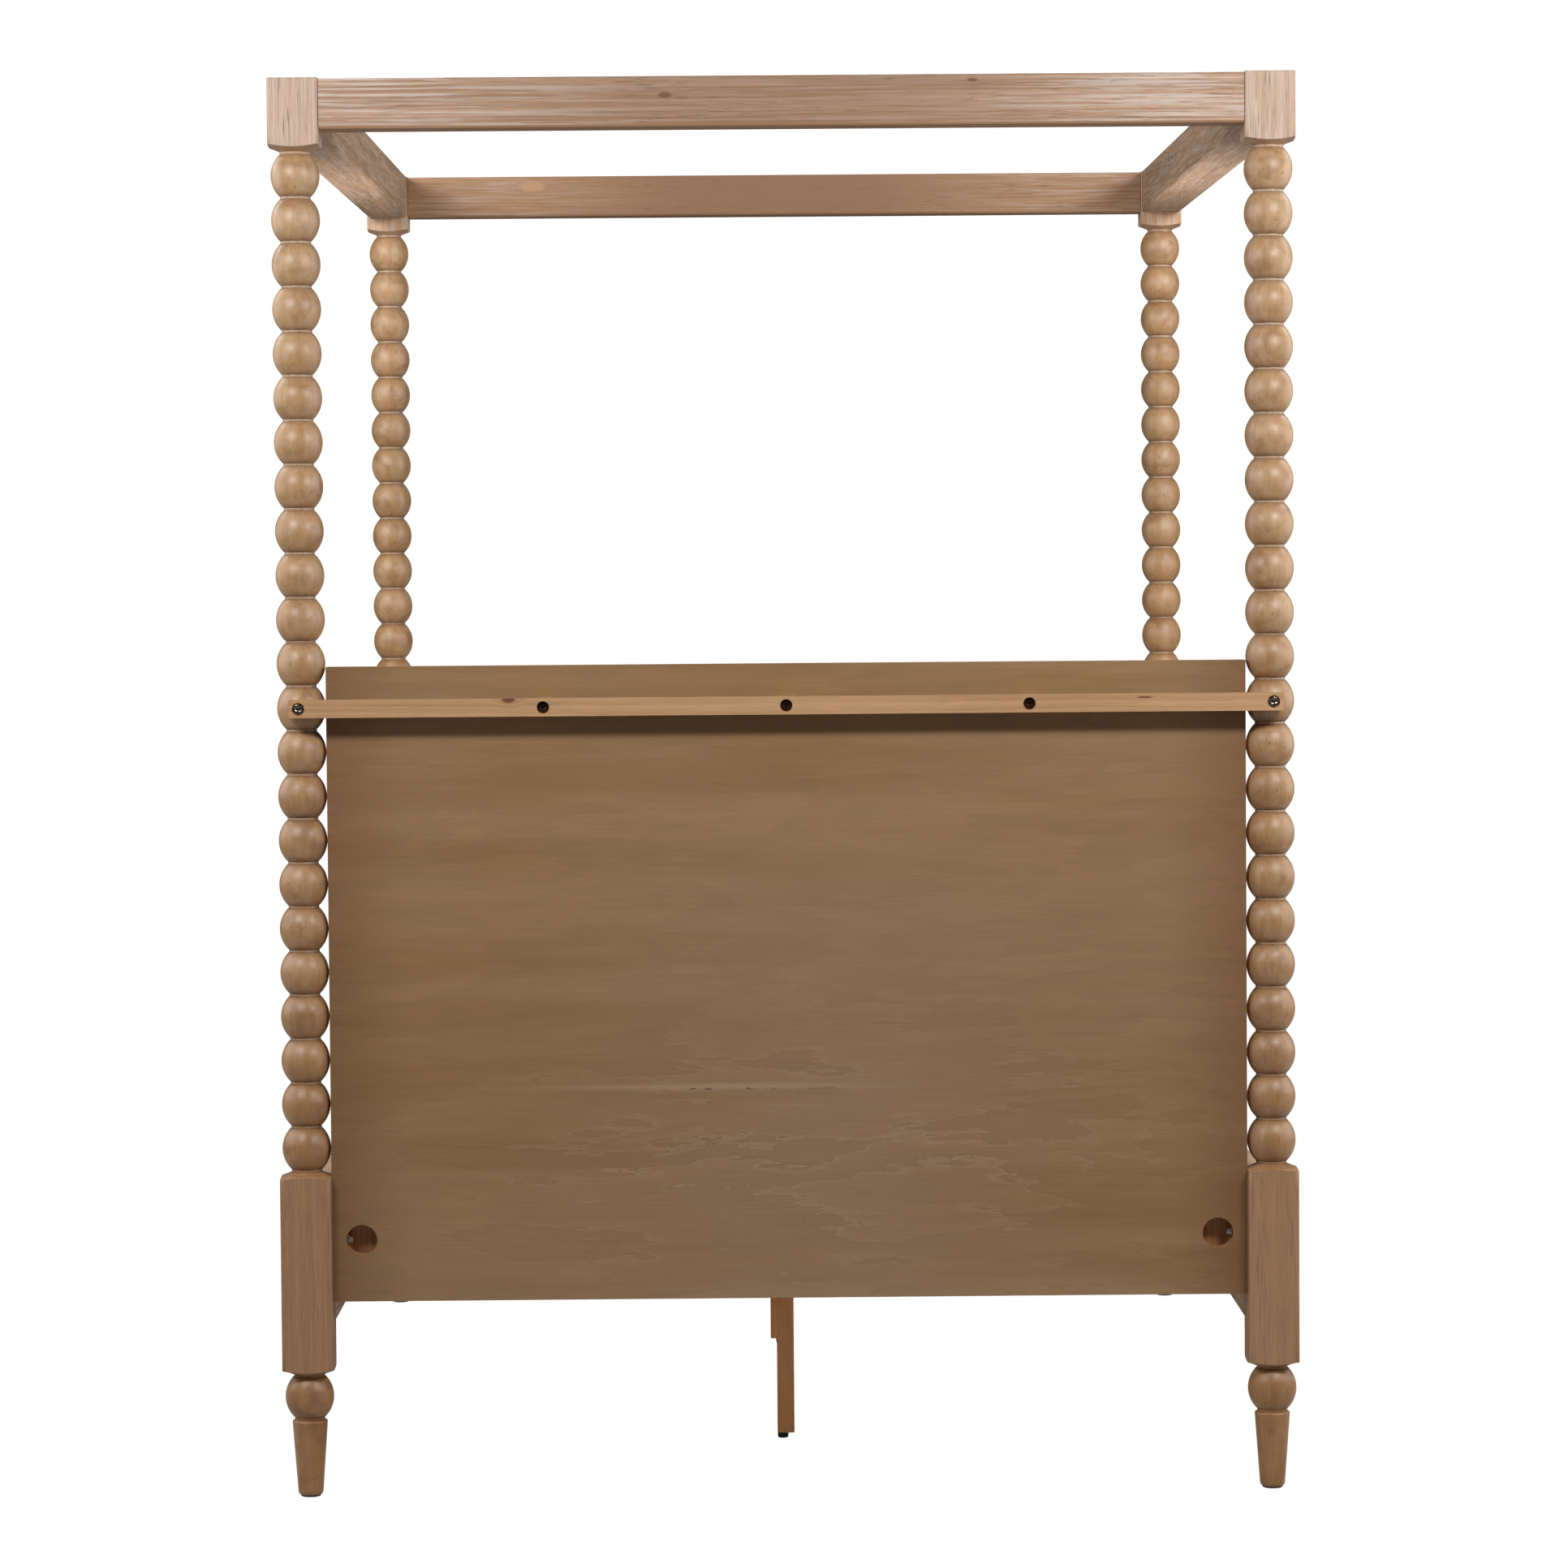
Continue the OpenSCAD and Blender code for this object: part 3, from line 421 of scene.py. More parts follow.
def make(name, verts, faces, mats, body=BED, face_mats=None, sharp=40):
    """Adds a smooth-shaded mesh piece that rides on a body."""
    mesh = bpy.data.meshes.new(name)
    mesh.from_pydata(verts, [], faces)
    for mat in mats:
        mesh.materials.append(mat)
    if face_mats:
        mesh.polygons.foreach_set("material_index", face_mats)
    mesh.polygons.foreach_set("use_smooth", [True] * len(mesh.polygons))
    mesh.set_sharp_from_angle(angle=math.radians(sharp))
    mesh.update()
    obj = bpy.data.objects.new(name, mesh)
    bpy.context.scene.collection.objects.link(obj)
    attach(obj, body)
    return obj


def smooth_min(a, b, k):
    """The lesser of a and b, with the corner between them rounded over about k."""
    h = max(0.0, min(1.0, 0.5 + 0.5 * (b - a) / k))
    return b + (a - b) * h - k * h * (1 - h)


def block_angle(i, radius):
    """Angle of column i on a square cut by a circle, where most columns lie on the flats."""
    quarter = COLUMNS // 4
    turn, j = divmod(i + FLAT_COLUMNS // 2, quarter)
    base = turn * math.pi / 2
    phi = math.acos(min(HALF / radius, 1.0)) if radius > HALF else 0.0
    phi = max(phi - math.radians(1.5), 0.8 * phi)
    if j <= FLAT_COLUMNS:
        t = 2 * j / FLAT_COLUMNS - 1
        return base + math.atan(t * math.tan(phi)) if phi else base
    t = (j - FLAT_COLUMNS) / CORNER_COLUMNS
    return base + phi + t * (math.pi / 2 - 2 * phi)


def section(radius, square, inset=0.0):
    """One ring of (x, y) points: a circle, or the eased square cut by that circle."""
    points = []
    blend = max(0.0, min(1.0, (radius - HALF) / (8 * MM))) if square else 0.0
    for i in range(COLUMNS):
        angle = 2 * math.pi * i / COLUMNS
        if blend:
            angle += blend * (math.remainder(block_angle(i, radius) - angle, 2 * math.pi))
        r = radius
        if square:
            flat = HALF / max(abs(math.cos(angle)), abs(math.sin(angle)))
            r = smooth_min(flat, radius, 1.3 * MM)
        r -= inset
        points.append((r * math.cos(angle), r * math.sin(angle)))
    return points


def bead_rows(z, half, steps=16):
    """Rows (z, radius, square, inset) of one bead centred on z."""
    reach = math.asin(half / BEAD_ARC_R)
    rows = []
    for i in range(steps + 1):
        a = reach * (2 * i / steps - 1)
        radius = BEAD_R - BEAD_ARC_R + BEAD_ARC_R * math.cos(a)
        rows.append((z + BEAD_ARC_R * math.sin(a), radius, False, 0.0))
    return rows


def ring_rows(z, height=RING_H, radius=RING_R):
    """A slim raised ring between two grooves."""
    h = height / 2
    return [(z - h, GROOVE_R, False, 0.0), (z - h + 0.4 * MM, radius - 0.2 * MM, False, 0.0),
            (z, radius, False, 0.0), (z + h - 0.4 * MM, radius - 0.2 * MM, False, 0.0),
            (z + h, GROOVE_R, False, 0.0)]


def shoulder_rows(z, side, steps=30):
    """Turned end of a block whose corner is at z, side 1 where the block lies above."""
    rows = []
    for i in range(steps + 1):
        radius = CORNER_R + (RING_R - CORNER_R) * i / steps
        cut = CORNER_R - radius
        drop = SHOULDER_SLOPE * cut + SHOULDER_CURVE * cut * cut
        rows.append((z - side * drop, radius, True, 0.0))
    return rows if side < 0 else rows[::-1]


def straight_rows(z0, z1, steps=10):
    """The square part of a block, without its two ends."""
    return [(z0 + (z1 - z0) * i / steps, CORNER_R, True, 0.0) for i in range(1, steps)]


def loft_post(name, node, rows, mats):
    """Skins the rows into a closed post round the node's own axis."""
    lo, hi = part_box(node)
    cx, cy = (lo[0] + hi[0]) / 2, (lo[1] + hi[1]) / 2
    verts, faces, face_mats = [], [], []
    for z, radius, square, inset in rows:
        verts += [(cx + x, cy + y, z) for x, y in section(radius, square, inset)]
    for r in range(len(rows) - 1):
        flat = rows[r][2] and rows[r + 1][2] and min(rows[r][1], rows[r + 1][1]) > HALF
        for i in range(COLUMNS):
            a = r * COLUMNS + i
            b = r * COLUMNS + (i + 1) % COLUMNS
            faces.append((a, b, b + COLUMNS, a + COLUMNS))
            face_mats.append(1 if flat else 0)
    faces.append(tuple(reversed(range(COLUMNS))))
    faces.append(tuple(range((len(rows) - 1) * COLUMNS, len(rows) * COLUMNS)))
    face_mats += [0, 1 if rows[-1][2] else 0]
    post = make(name, verts, faces, mats, face_mats=face_mats, sharp=50)
    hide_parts(node)


def beaded_rows(z, count):
    """Beads upwards from the ring at z, with the rings between them."""
    half = (BEAD_PITCH - RING_H) / 2
    rows = []
    for i in range(count):
        rows += bead_rows(z + (i + 0.5) * BEAD_PITCH, half - 0.3 * MM)
        if i < count - 1:
            rows += ring_rows(z + (i + 1) * BEAD_PITCH)
    return rows


def lower_rows():
    """From the floor up: tapered foot, ball, square block and the beads below the joint."""
    ball_z = BLOCK_LOW_Z - SHOULDER_H - 3 * MM - BALL_HALF
    taper_z = ball_z - BALL_HALF - 5 * MM
    foot = [(0.0, 17.2), (1.6, 19.2), (4.5, 20.3)]
    rows = [(FOOT_Z + z * MM, r * MM, False, 0.0) for z, r in foot]
    low_z, low_r = rows[-1][:2]
    high_z, high_r = taper_z - 5 * MM, 28.5 * MM
    for i in range(1, 9):
        t = i / 8
        rows.append((low_z + t * (high_z - low_z), low_r + t * (high_r - low_r), False, 0.0))
    rows += [(taper_z - 3.2 * MM, 28.6 * MM, False, 0.0),
             (taper_z - 1.4 * MM, 27.9 * MM, False, 0.0),
             (taper_z - 0.2 * MM, 25.6 * MM, False, 0.0)]
    rows += ring_rows(taper_z + 2.4 * MM, 4.6 * MM, 24.6 * MM)
    rows += bead_rows(ball_z, BALL_HALF - 0.3 * MM)
    rows += ring_rows(ball_z + BALL_HALF + 1.5 * MM, 3 * MM, 24.8 * MM)
    rows += shoulder_rows(BLOCK_LOW_Z, 1)
    rows += straight_rows(BLOCK_LOW_Z, BLOCK_TOP_Z)
    rows += shoulder_rows(BLOCK_TOP_Z, -1)
    rows += ring_rows(FIRST_RING_Z)
    rows += beaded_rows(FIRST_RING_Z, BEADS_LOWER)
    rows += [(JOINT_Z - RING_H / 2, GROOVE_R, False, 0.0),
             (JOINT_Z - 0.35 * MM, RING_R - 0.1 * MM, False, 0.0),
             (JOINT_Z, RING_R - 0.5 * MM, False, 0.0)]
    return rows


def upper_rows():
    """From the joint up: the beads and the square block the canopy is bolted to."""
    block_z = LAST_RING_Z + RING_H / 2 + SHOULDER_H
    rows = [(JOINT_Z, RING_R - 0.5 * MM, False, 0.0),
            (JOINT_Z + 0.35 * MM, RING_R - 0.1 * MM, False, 0.0),
            (JOINT_Z + RING_H / 2, GROOVE_R, False, 0.0)]
    rows += beaded_rows(JOINT_Z, BEADS_UPPER)
    rows += ring_rows(LAST_RING_Z)
    rows += shoulder_rows(block_z, 1)
    rows += straight_rows(block_z, TOP_Z, 6)
    ease = 1.6 * MM
    for i in range(6):
        a = math.pi / 2 * i / 5
        rows.append((TOP_Z - ease + ease * math.sin(a), CORNER_R, True, ease * (1 - math.cos(a))))
    return rows


def eased(node, mat, ease, segments=3, pull=0.0):
    """A copy of a CAD node with welded, rounded edges. pull shortens both ends of its length."""
    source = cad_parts[node]
    bm = bmesh.new()
    bm.from_mesh(source.data)
    bmesh.ops.remove_doubles(bm, verts=bm.verts, dist=1e-5)
    bmesh.ops.dissolve_limit(bm, angle_limit=math.radians(0.5), verts=bm.verts, edges=bm.edges)
    if pull:
        lo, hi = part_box(node)
        k = max(range(3), key=lambda i: hi[i] - lo[i])
        for v in bm.verts:
            if v.co[k] - lo[k] < 1e-5:
                v.co[k] += pull
            elif hi[k] - v.co[k] < 1e-5:
                v.co[k] -= pull
    edges = [e for e in bm.edges
             if len(e.link_faces) == 2 and e.calc_face_angle(0.0) > math.radians(40)]
    bmesh.ops.bevel(bm, geom=edges, offset=ease, offset_type="OFFSET", segments=segments,
                    profile=0.5, affect="EDGES", clamp_overlap=True)
    mesh = bpy.data.meshes.new(node + "_eased")
    bm.to_mesh(mesh)
    bm.free()
    mesh.materials.append(mat)
    mesh.polygons.foreach_set("use_smooth", [True] * len(mesh.polygons))
    mesh.polygons.foreach_set("material_index", [0] * len(mesh.polygons))
    mesh.set_sharp_from_angle(angle=math.radians(50))
    obj = bpy.data.objects.new(node + "_eased", mesh)
    bpy.context.scene.collection.objects.link(obj)
    weigh = obj.modifiers.new("normals", "WEIGHTED_NORMAL")
    weigh.keep_sharp = True
    weigh.weight = 100
    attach(obj, BED)
    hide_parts(node)


def basis(direction):
    """Rotation that takes +Z to the direction."""
    return Vector((0, 0, 1)).rotation_difference(Vector(direction)).to_matrix()


def turned(name, node, profiles, mat, body=BED, sides=48, sharp=35):
    """One piece of turned solids that replaces a node.

    A profile is (centre, direction, rows) and a row is (height, radius, hexagonal).
    """
    verts, faces = [], []
    for centre, direction, rows in profiles:
        spin = basis(direction)
        first = len(verts)
        for h, r, hexed in rows:
            for i in range(sides):
                a = 2 * math.pi * i / sides
                wedge = (a % (math.pi / 3)) - math.pi / 6
                reach = r * math.cos(math.pi / 6) / math.cos(wedge) if hexed else r
                point = Vector((reach * math.cos(a), reach * math.sin(a), h))
                verts.append(Vector(centre) + spin @ point)
        for k in range(len(rows) - 1):
            for i in range(sides):
                a = first + k * sides + i
                b = first + k * sides + (i + 1) % sides
                faces.append((a, b, b + sides, a + sides))
        faces.append(tuple(first + i for i in reversed(range(sides))))
        faces.append(tuple(first + (len(rows) - 1) * sides + i for i in range(sides)))
    piece = make(name, [tuple(v) for v in verts], faces, [mat], body=body, sharp=sharp)
    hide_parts(node)


def at(node, fx, fy, fz):
    """Point at fractions of a node's box."""
    lo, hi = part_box(node)
    return tuple(a + (b - a) * f for a, b, f in zip(lo, hi, (fx, fy, fz)))


def centre_of(node):
    """Middle of a node's box."""
    lo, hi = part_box(node)
    return [(a + b) / 2 for a, b in zip(lo, hi)]


# ---------------------------------------------------------------- studio

def make_camera():
    """Behind the headboard, a little above the middle of the bed and to the left."""
    data = bpy.data.cameras.new("camera")
    data.sensor_width = 36.0
    data.lens = LENS
    camera = bpy.data.objects.new("camera", data)
    bpy.context.scene.collection.objects.link(camera)
    back_y = HEAD_LEFT[0][1]
    spot = Matrix.Translation((CAMERA_X, back_y - CAMERA_BACK, CAMERA_Z))
    yaw = Matrix.Rotation(CAMERA_YAW, 4, "Z")
    pitch = Matrix.Rotation(math.pi / 2 + CAMERA_PITCH, 4, "X")
    roll = Matrix.Rotation(CAMERA_ROLL, 4, "Z")
    camera.matrix_world = spot @ yaw @ pitch @ roll
    data.clip_end = 100
    bpy.context.scene.camera = camera


def area(name, spot, target, width, height, power, spread=180, glossy=True):
    """Rectangular lamp aimed at the target and hidden from the camera."""
    data = bpy.data.lights.new(name, "AREA")
    data.shape = "RECTANGLE"
    data.size = width
    data.size_y = height
    data.energy = power
    data.spread = math.radians(spread)
    light = bpy.data.objects.new(name, data)
    light.visible_camera = False
    light.visible_glossy = glossy
    light.location = spot
    light.rotation_euler = (Vector(target) - Vector(spot)).to_track_quat("-Z", "Y").to_euler()
    bpy.context.scene.collection.objects.link(light)


def make_backdrop():
    """White to the camera, and a faint glow to everything else."""
    scene = bpy.context.scene
    scene.view_settings.view_transform = "Standard"
    scene.view_settings.look = "None"
    world = bpy.data.worlds.new("studio")
    scene.world = world
    world.use_nodes = True
    tree = world.node_tree
    back = tree.nodes["Background"]
    back.inputs["Color"].default_value = (1, 0.985, 0.97, 1)
    path = tree.nodes.new("ShaderNodeLightPath")
    level = tree.nodes.new("ShaderNodeMapRange")
    level.inputs["To Min"].default_value = ROOM_GLOW
    level.inputs["To Max"].default_value = BACKDROP_GLOW
    tree.links.new(path.outputs["Is Camera Ray"], level.inputs["Value"])
    tree.links.new(level.outputs["Result"], back.inputs["Strength"])


def make_light():
    """Keys on the headboard's back, boxes at the sides, small lamps for the foot posts, strips
    under the canopy's side rails, a low strip for the centre legs and a fill from the foot."""
    head_y = HEAD_LEFT[0][1]
    for i, (side, name) in enumerate(((-1, "left"), (1, "right"))):
        area("key_" + name, (side * 1.75, head_y - 2.0, 2.78), (side * 0.6, head_y, 1.6),
             1.2, 0.3, KEY_WATTS[i])
        area("side_" + name, (side * 3.0, head_y + 0.3, SIDE_Z[i]),
             (side * 0.8, head_y + 0.5, 1.4), 3.2, 2.0, SIDE_WATTS[i])
        area("back_" + name, (side * 1.7, head_y + 0.7, 2.7), (side * 0.8, -head_y, 1.3),
             0.9, 0.9, BACK_WATTS)
        area("lift_" + name, (side * 0.95, 0.1, 0.8), (side * 0.78, 0.1, 2.2),
             0.3, 1.8, LIFT_WATTS, spread=70)
    area("low", (0, head_y - 2.6, 0.06), (0, 0, 0.09), 1.2, 0.08, LOW_WATTS, spread=14)
    area("fill", (0.6, 4.6, 2.4), (0, 0.4, 1.1), 2.4, 1.6, FILL_WATTS, glossy=False)


def make_floor():
    """Pale studio floor. It reaches the camera as plain white, like the backdrop."""
    half = 14.0
    corners = [(-half, -half, 0), (half, -half, 0), (half, half, 0), (-half, half, 0)]
    mesh = bpy.data.meshes.new("floor")
    mesh.from_pydata(corners, [], [(0, 1, 2, 3)])
    g = Graph("floor_paint")
    cloud = g.noise(g.place((0.8, 0.8, 0.8)), 2.0, 0.5)
    tone = g.mix(cloud, (0.40, 0.395, 0.39), (0.44, 0.44, 0.435))
    g.finish(tone, g.remap(cloud, 0.3, 0.7, 0.6, 0.7), g.bump(cloud, 0.1 * MM))
    glow = g.new("ShaderNodeEmission")
    glow.inputs["Color"].default_value = (1, 1, 1, 1)
    glow.inputs["Strength"].default_value = FLOOR_GLOW
    path = g.new("ShaderNodeLightPath")
    blend = g.new("ShaderNodeMixShader")
    g.put(blend.inputs["Fac"], path.outputs["Is Camera Ray"])
    g.put(blend.inputs[1], g.bsdf.outputs[0])
    g.put(blend.inputs[2], glow.outputs[0])
    g.put(g.tree.nodes["Material Output"].inputs["Surface"], blend.outputs[0])
    mesh.materials.append(g.mat)
    floor = bpy.data.objects.new("floor", mesh)
    bpy.context.scene.collection.objects.link(floor)


# ---------------------------------------------------------------- pieces

def build_posts():
    for i, corner in enumerate(("head_left", "head_right", "foot_left", "foot_right")):
        for level, rows in (("lower", lower_rows()), ("upper", upper_rows())):
            node = "%s_%s_post" % (corner, level)
            seed = i * 2.3 + (0.9 if level == "upper" else 0.0)
            bead = turned_wood(node + "_turned", seed)
            # Upper blocks are limed and paler, partly a painted sheen; lower blocks get darker,
            # browner tones, partly painted shade low on the post.
            if level == "upper":
                tones = ((186, 153, 128), (199, 169, 147), (208, 180, 159))
                if "foot" in corner:
                    tones = ((188, 148, 112), (200, 162, 128), (208, 174, 142))
                block = wood(node + "_block", "Z", seed + 5, *tones, figure=0.1, pores=0.75,
                             pore_colour=(104, 88, 80), fibre=0.14, ring_gap=6.0, rough=0.52,
                             relief=0.14, limed=0.42, streaks=(2.0, 90.0), dashes=(16.0, 640.0),
                             chalk_at=(9.0, 260.0))
            else:
                tones = ((164, 123, 88), (175, 134, 98), (183, 144, 108))
                block = wood(node + "_block", "Z", seed + 5, *tones, figure=0.1, pores=0.7,
                             pore_colour=(92, 68, 52), fibre=0.14, ring_gap=7.0, rough=0.5,
                             relief=0.08, streaks=(1.6, 110.0), dashes=(14.0, 600.0), coat=0.15)
            loft_post(node + "_turned", node, rows, [bead, block])


def build_canopy():
    knots = {
        "canopy_head_rail": [
            (at("canopy_head_rail", 0.374, 0.0, 0.62), (28 * MM, 40 * MM, 13 * MM)),
            (at("canopy_head_rail", 0.706, 0.0, 0.88), (22 * MM, 40 * MM, 8 * MM))],
        "canopy_foot_rail": [
            (at("canopy_foot_rail", 0.17, 0.0, 0.75), (70 * MM, 40 * MM, 26 * MM))],
        "canopy_left_rail": [
            (at("canopy_left_rail", 1.0, 0.7, 0.4), (40 * MM, 24 * MM, 12 * MM))],
        "canopy_right_rail": [],
    }
    for i, (node, places) in enumerate(knots.items()):
        # Head and foot rails: paler, chalkier ends and a browner middle, a painted reflection and
        # painted shade; the head rail's strong liming is partly a painted sheen too.
        if node == "canopy_head_rail":
            mat = wood(node + "_wood", "X", 20, (160, 122, 92), (189, 153, 126), (206, 178, 156),
                       figure=0.25, pores=0.4, pore_colour=(98, 74, 60), fibre=0.2, ring_gap=7.0,
                       rough=0.52, relief=0.2, knots=places, limed=0.65, streaks=(2.4, 190.0),
                       chalk_at=(4.2, 230.0), painted_end_sheen=0.5, edge_z=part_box(node)[0][2])
        elif node == "canopy_foot_rail":
            mat = wood(node + "_wood", "X", 24, (156, 115, 80), (173, 133, 97), (187, 150, 115),
                       figure=0.3, pores=0.25, fibre=0.14, ring_gap=6.0, rough=0.5, relief=0.12,
                       knots=places, limed=0.25, streaks=(1.2, 130.0), painted_end_sheen=0.9,
                       knot_colour=(182, 142, 108))
        else:
            mat = wood(node + "_wood", "Y", 26 + i * 3.1, (150, 118, 90), (173, 139, 109),
                       (187, 156, 126), figure=0.3, pores=0.6, pore_colour=(74, 56, 46),
                       fibre=0.22, ring_gap=8.0, rough=0.5, relief=0.14, knots=places, limed=0.3,
                       streaks=(1.2, 60.0))
        eased(node, mat, 2.2 * MM, pull=0.7 * MM)


def build_headboard():
    skin = veneer("headboard_veneer", 3.3)
    core = wood("headboard_core_wood", "Z", 41, *CORE_TONES, pores=0.3, rough=0.6)
    cross = wood("headboard_cross_wood", "X", 42, *CORE_TONES, pores=0.3, rough=0.6)
    for node in ("headboard_back_skin", "headboard_front_skin"):
        eased(node, skin, 0.5 * MM, segments=2)
    for node in ("headboard_left_stile", "headboard_right_stile"):
        eased(node, core, 0.4 * MM, segments=2)
    eased("headboard_cross_rails", cross, 0.4 * MM, segments=2)


def build_brace():
    knots = [(at("headboard_brace", 0.221, 0.0, 1.02), (30 * MM, 44 * MM, 21 * MM)),
             (at("headboard_brace", 0.86, 0.0, 0.8), (30 * MM, 30 * MM, 4 * MM))]
    mat = wood("brace_wood", "X", 51, (178, 134, 94), (196, 153, 110), (208, 168, 126),
               figure=0.5, pores=0.15, fibre=0.1, ring_gap=11.0, rough=0.45, relief=0.06,
               knots=knots, knot_colour=(104, 48, 34))
    eased("headboard_brace", mat, 1.5 * MM)
    eased("brace_spacers", mat, 0.6 * MM)


def socket_bolt(radius, height, socket, depth):
    """Rows of a hex-socket bolt from its tip to its open face, the head's seat at 0."""
    ease = 0.9 * MM
    mouth = 0.9 * MM
    return [(-SHANK_L, SHANK_R - 0.5 * MM, False), (-SHANK_L + 1 * MM, SHANK_R, False),
            (0, SHANK_R, False), (0, radius - 0.3 * MM, False), (0.4 * MM, radius, False),
            (height - ease, radius, False), (height - 0.4 * ease, radius - 0.35 * ease, False),
            (height, radius - ease, False), (height, socket + mouth, False),
            (height - 0.4 * MM, socket + 0.5 * MM, False),
            (height - mouth, socket + 0.1 * MM, True), (height - depth, socket, True),
            (height - depth - 0.8 * MM, socket * 0.5, False),
            (height - depth - 0.9 * MM, 0.2 * MM, False)]


def build_brace_bolts():
    """Two bright bolts through the posts and three dark ones deep in the bar."""
    worn = metal("worn_nickel", (150, 138, 128), 0.1, 5.0, 0.5)
    dark = metal("dark_bolt", (72, 58, 46), 0.4, 3.0)
    back_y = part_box("headboard_brace")[0][1]
    lo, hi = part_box("brace_end_bolts")
    z, head_r = (lo[2] + hi[2]) / 2, (hi[2] - lo[2]) / 2
    post_x = centre_of("head_right_lower_post")[0]
    rows = socket_bolt(head_r + 0.3 * MM, 5.6 * MM, 4.6 * MM, 4 * MM)
    ends = [((side * post_x, back_y + END_SEAT, z), (0, -1, 0), rows) for side in (-1, 1)]
    turned("brace_end_bolts_turned", "brace_end_bolts", ends, worn)
    lo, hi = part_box("brace_middle_bolts")
    step = (hi[0] - lo[0]) / 2 - head_r
    rows = socket_bolt(head_r, 5 * MM, 4.4 * MM, 3.5 * MM)
    middles = [((i * step, back_y + MIDDLE_SEAT, z), (0, -1, 0), rows) for i in (-1, 0, 1)]
    turned("brace_middle_bolts_turned", "brace_middle_bolts", middles, dark)


def build_headboard_bolts():
    """A hex bolt and washer in each spanner pocket, seated on the wall beside the post."""
    nickel = metal("nickel_plate", (204, 194, 182), 0.16, 1.0)
    lo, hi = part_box("headboard_washers")
    washer = [(0, 9.6), (0.2, 10), (1.8, 10), (2, 9.6), (2, 4.2)]
    washer = [(h * MM, r * MM, False) for h, r in washer]
    bolt = [(-50, 3.6, False), (-49, 4, False), (2, 4, False), (2, 7, True), (2.3, 7.5, True),
            (6.6, 7.5, True), (7.5, 6.2, False), (7.5, 3.6, False), (7.1, 3.2, False),
            (7.1, 0.3, False)]
    bolt = [(h * MM, r * MM, hexed) for h, r, hexed in bolt]
    bolts, washers = [], []
    for side in (-1, 1):
        seat = (side * hi[0], (lo[1] + hi[1]) / 2, (lo[2] + hi[2]) / 2)
        washers.append((seat, (-side, 0, 0), washer))
        bolts.append((seat, (-side, 0, 0), bolt))
    turned("headboard_bolts_turned", "headboard_bolts", bolts, nickel, sharp=25)
    turned("headboard_washers_turned", "headboard_washers", washers, nickel)


def build_plates(zinc):
    for node in ("rail_hook_plates", "post_catch_plates", "beam_hangers", "leg_plates"):
        eased(node, zinc, 0.4 * MM, segments=2)


def build_base():
    rail_sets = (("left_side_rail", "Y"), ("right_side_rail", "Y"), ("foot_rail", "X"))
    for i, (node, grain) in enumerate(rail_sets):
        mat = wood(node + "_wood", grain, 60 + i * 2.7, (160, 126, 96), (184, 150, 118),
                   (206, 176, 146), figure=0.5, pores=0.5, fibre=0.2, ring_gap=8.0, rough=0.5,
                   relief=0.14, limed=0.3)
        eased(node, mat, 2.0 * MM, pull=0.3 * MM)
    for i in range(1, 11):
        mat = wood("slat_%d_wood" % i, "X", 80 + i * 1.9, (196, 160, 118), (211, 177, 136),
                   (224, 195, 158), figure=0.45, pores=0.15, fibre=0.12, ring_gap=8.0, rough=0.6,
                   relief=0.1)
        eased("slat_%d" % i, mat, 2.5 * MM)
    beam = wood("beam_wood", "Y", 101, *FRAME_TONES, figure=0.4, pores=0.15, rough=0.6)
    eased("centre_beam", beam, 2.0 * MM)
    for i, node in enumerate(("left_slat_ledger", "right_slat_ledger")):
        mat = wood(node + "_wood", "Y", 103 + i, *FRAME_TONES, figure=0.4, pores=0.15, rough=0.6)
        eased(node, mat, 1.5 * MM)
    for i, node in enumerate(("head_centre_leg", "foot_centre_leg")):
        mat = wood(node + "_wood", "Z", 110 + i * 1.3, (184, 116, 52), (198, 129, 60),
                   (208, 143, 72), figure=0.25, pores=0.2, fibre=0.12, ring_gap=7.0, rough=0.5,
                   relief=0.08)
        eased(node, mat, 2.0 * MM)


def pad_rows(radius, height):
    """Outline of a moulded leveller pad."""
    return [(0, radius - 2.2 * MM, False), (0.6 * MM, radius - 1.2 * MM, False),
            (1.8 * MM, radius - 0.5 * MM, False), (height - 2.6 * MM, radius, False),
            (height - 0.8 * MM, radius, False), (height - 0.2 * MM, radius - 0.6 * MM, False),
            (height, radius - 1.3 * MM, False), (height, 4.1 * MM, False)]


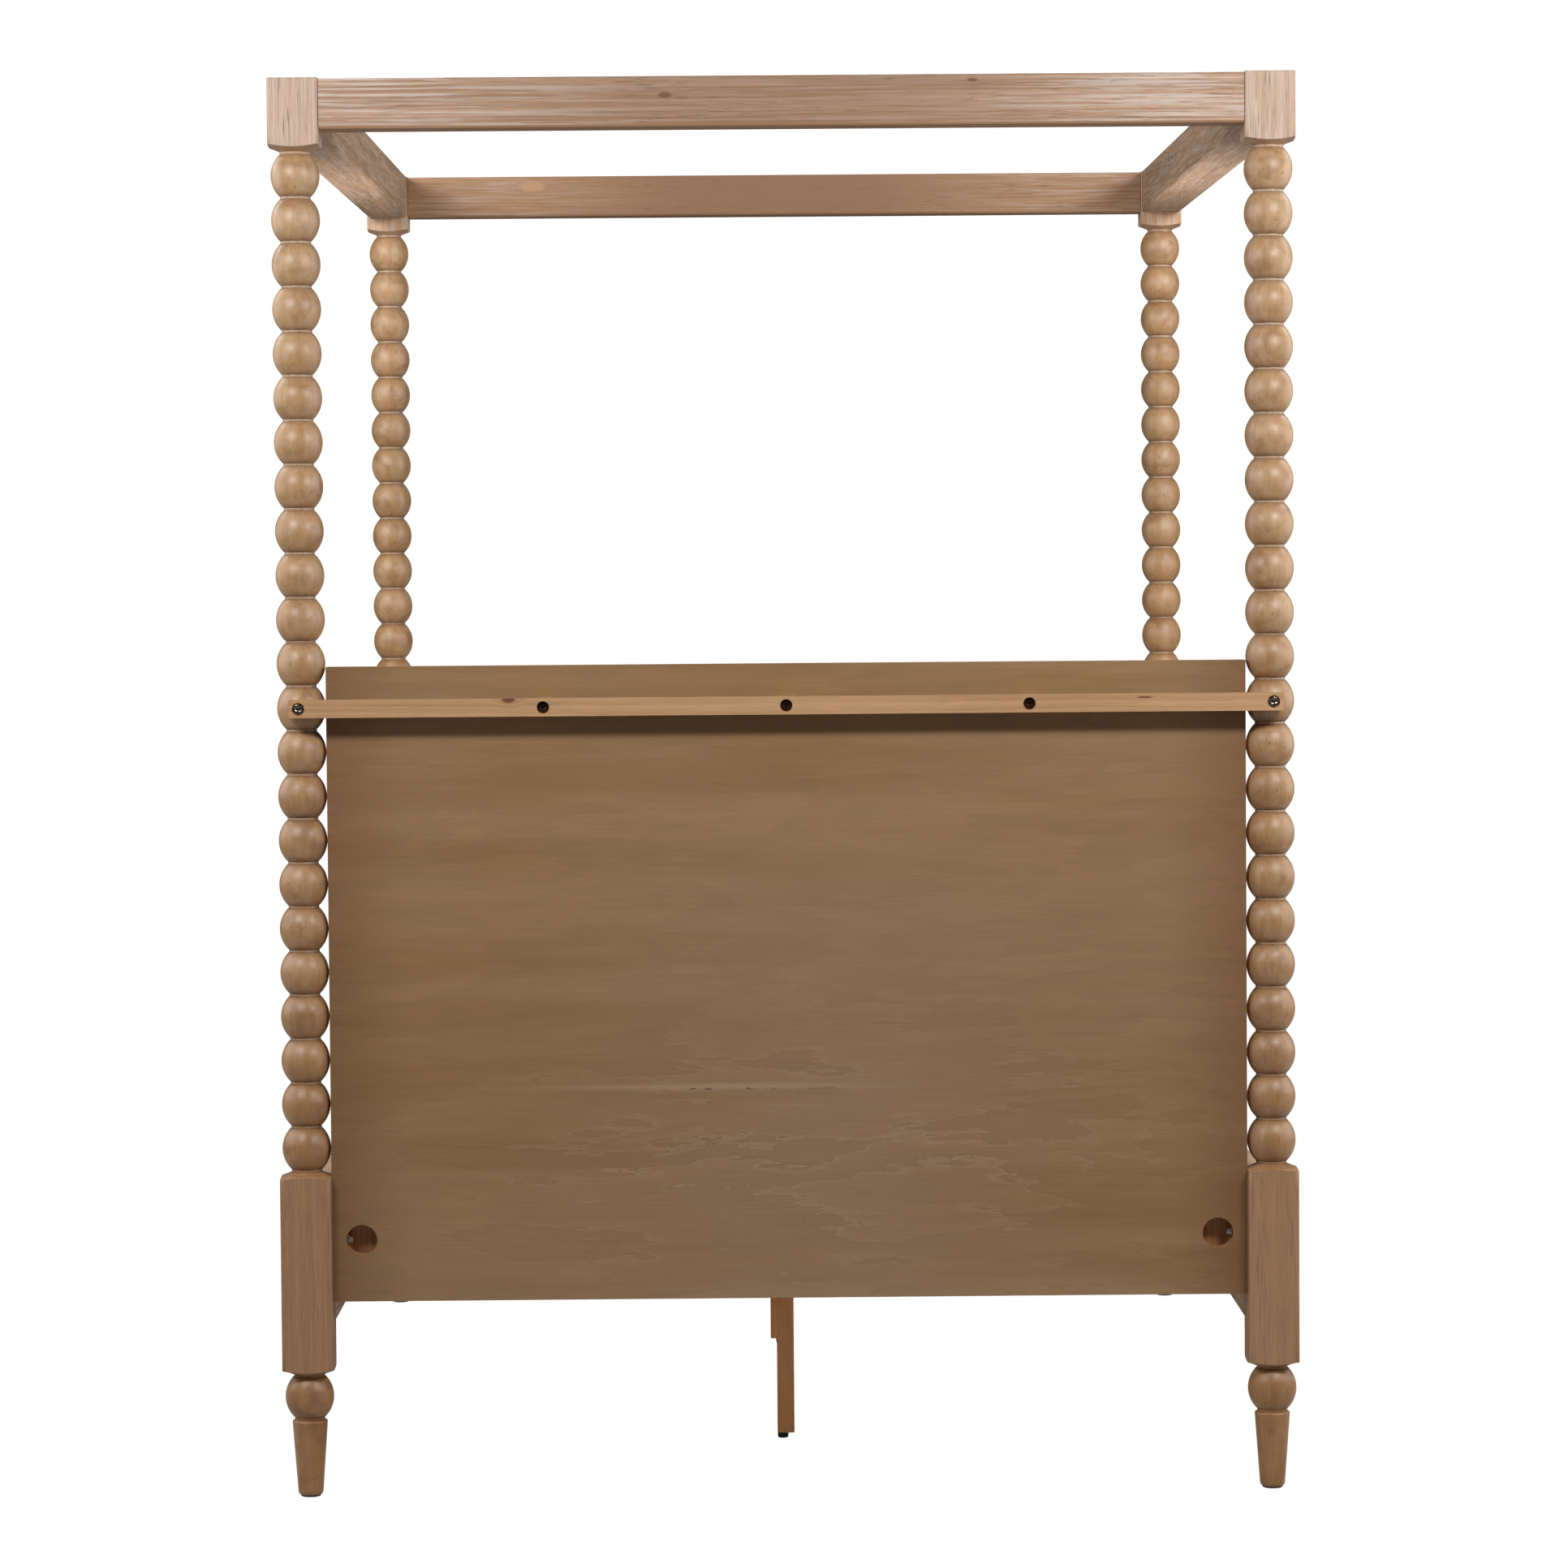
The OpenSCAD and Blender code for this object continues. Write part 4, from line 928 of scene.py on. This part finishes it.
def thread_rows(length, turns=24):
    """Outline of a threaded stem, one crest and one root to a turn."""
    rows = [(0, 3.4 * MM, False)]
    for i in range(turns):
        h = 0.8 * MM + i * (length - 1.6 * MM) / turns
        rows += [(h, 3.95 * MM, False), (h + 0.6 * MM, 3.5 * MM, False)]
    return rows + [(length, 3.3 * MM, False)]


def build_feet():
    black = plastic("leveller_black", (26, 25, 24), 0.45, 1.0)
    brown = plastic("glide_brown", (58, 48, 40), 0.5, 2.0)
    zinc = metal("stem_zinc", (170, 172, 174), 0.34, 4.0)
    up = (0, 0, 1)
    for body in ("head_leveller", "foot_leveller"):
        pad, stem = body + "_pad", body + "_stem"
        x, y = centre_of(pad)[:2]
        lo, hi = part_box(pad)
        rows = pad_rows((hi[0] - lo[0]) / 2, hi[2] - lo[2])
        turned(pad + "_moulded", pad, [((x, y, 0), up, rows)], black,
               body=body)
        lo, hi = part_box(stem)
        rows = thread_rows(hi[2] - lo[2])
        turned(stem + "_threaded", stem, [((x, y, lo[2]), up, rows)], zinc,
               body=body, sides=24)
    glide = [(0, 15), (0.5, 16), (1.4, 16.5), (3, 16.5)]
    glide = [(h * MM, r * MM, False) for h, r in glide]
    glides = []
    for corner in ("head_left", "head_right", "foot_left", "foot_right"):
        x, y = centre_of(corner + "_lower_post")[:2]
        glides.append(((x, y, 0), up, glide))
    turned("post_glides_moulded", "post_glides", glides, brown)


def dress_hidden(zinc):
    """Finishes for the CAD nodes that keep their own mesh."""
    dowel = wood("dowel_wood", "X", 120, (200, 165, 122), (214, 182, 142), (228, 200, 164),
                 pores=0.1, rough=0.6)
    keep = {"canopy_dowels": dowel}
    for node in ("post_joining_screws", "canopy_bolts", "canopy_barrel_nuts", "post_inserts",
                 "ledger_screws", "slat_screws", "leg_hanger_bolts", "leg_inserts"):
        keep[node] = zinc
    for node, mat in keep.items():
        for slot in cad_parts[node].material_slots:
            slot.material = mat


make_camera()
make_backdrop()
make_light()
make_floor()
build_posts()
build_canopy()
build_headboard()
build_brace()
build_brace_bolts()
build_headboard_bolts()
zinc_plate = metal("zinc_plate", (170, 172, 174), 0.36, 2.0, 0.4)
build_plates(zinc_plate)
build_base()
build_feet()
dress_hidden(zinc_plate)
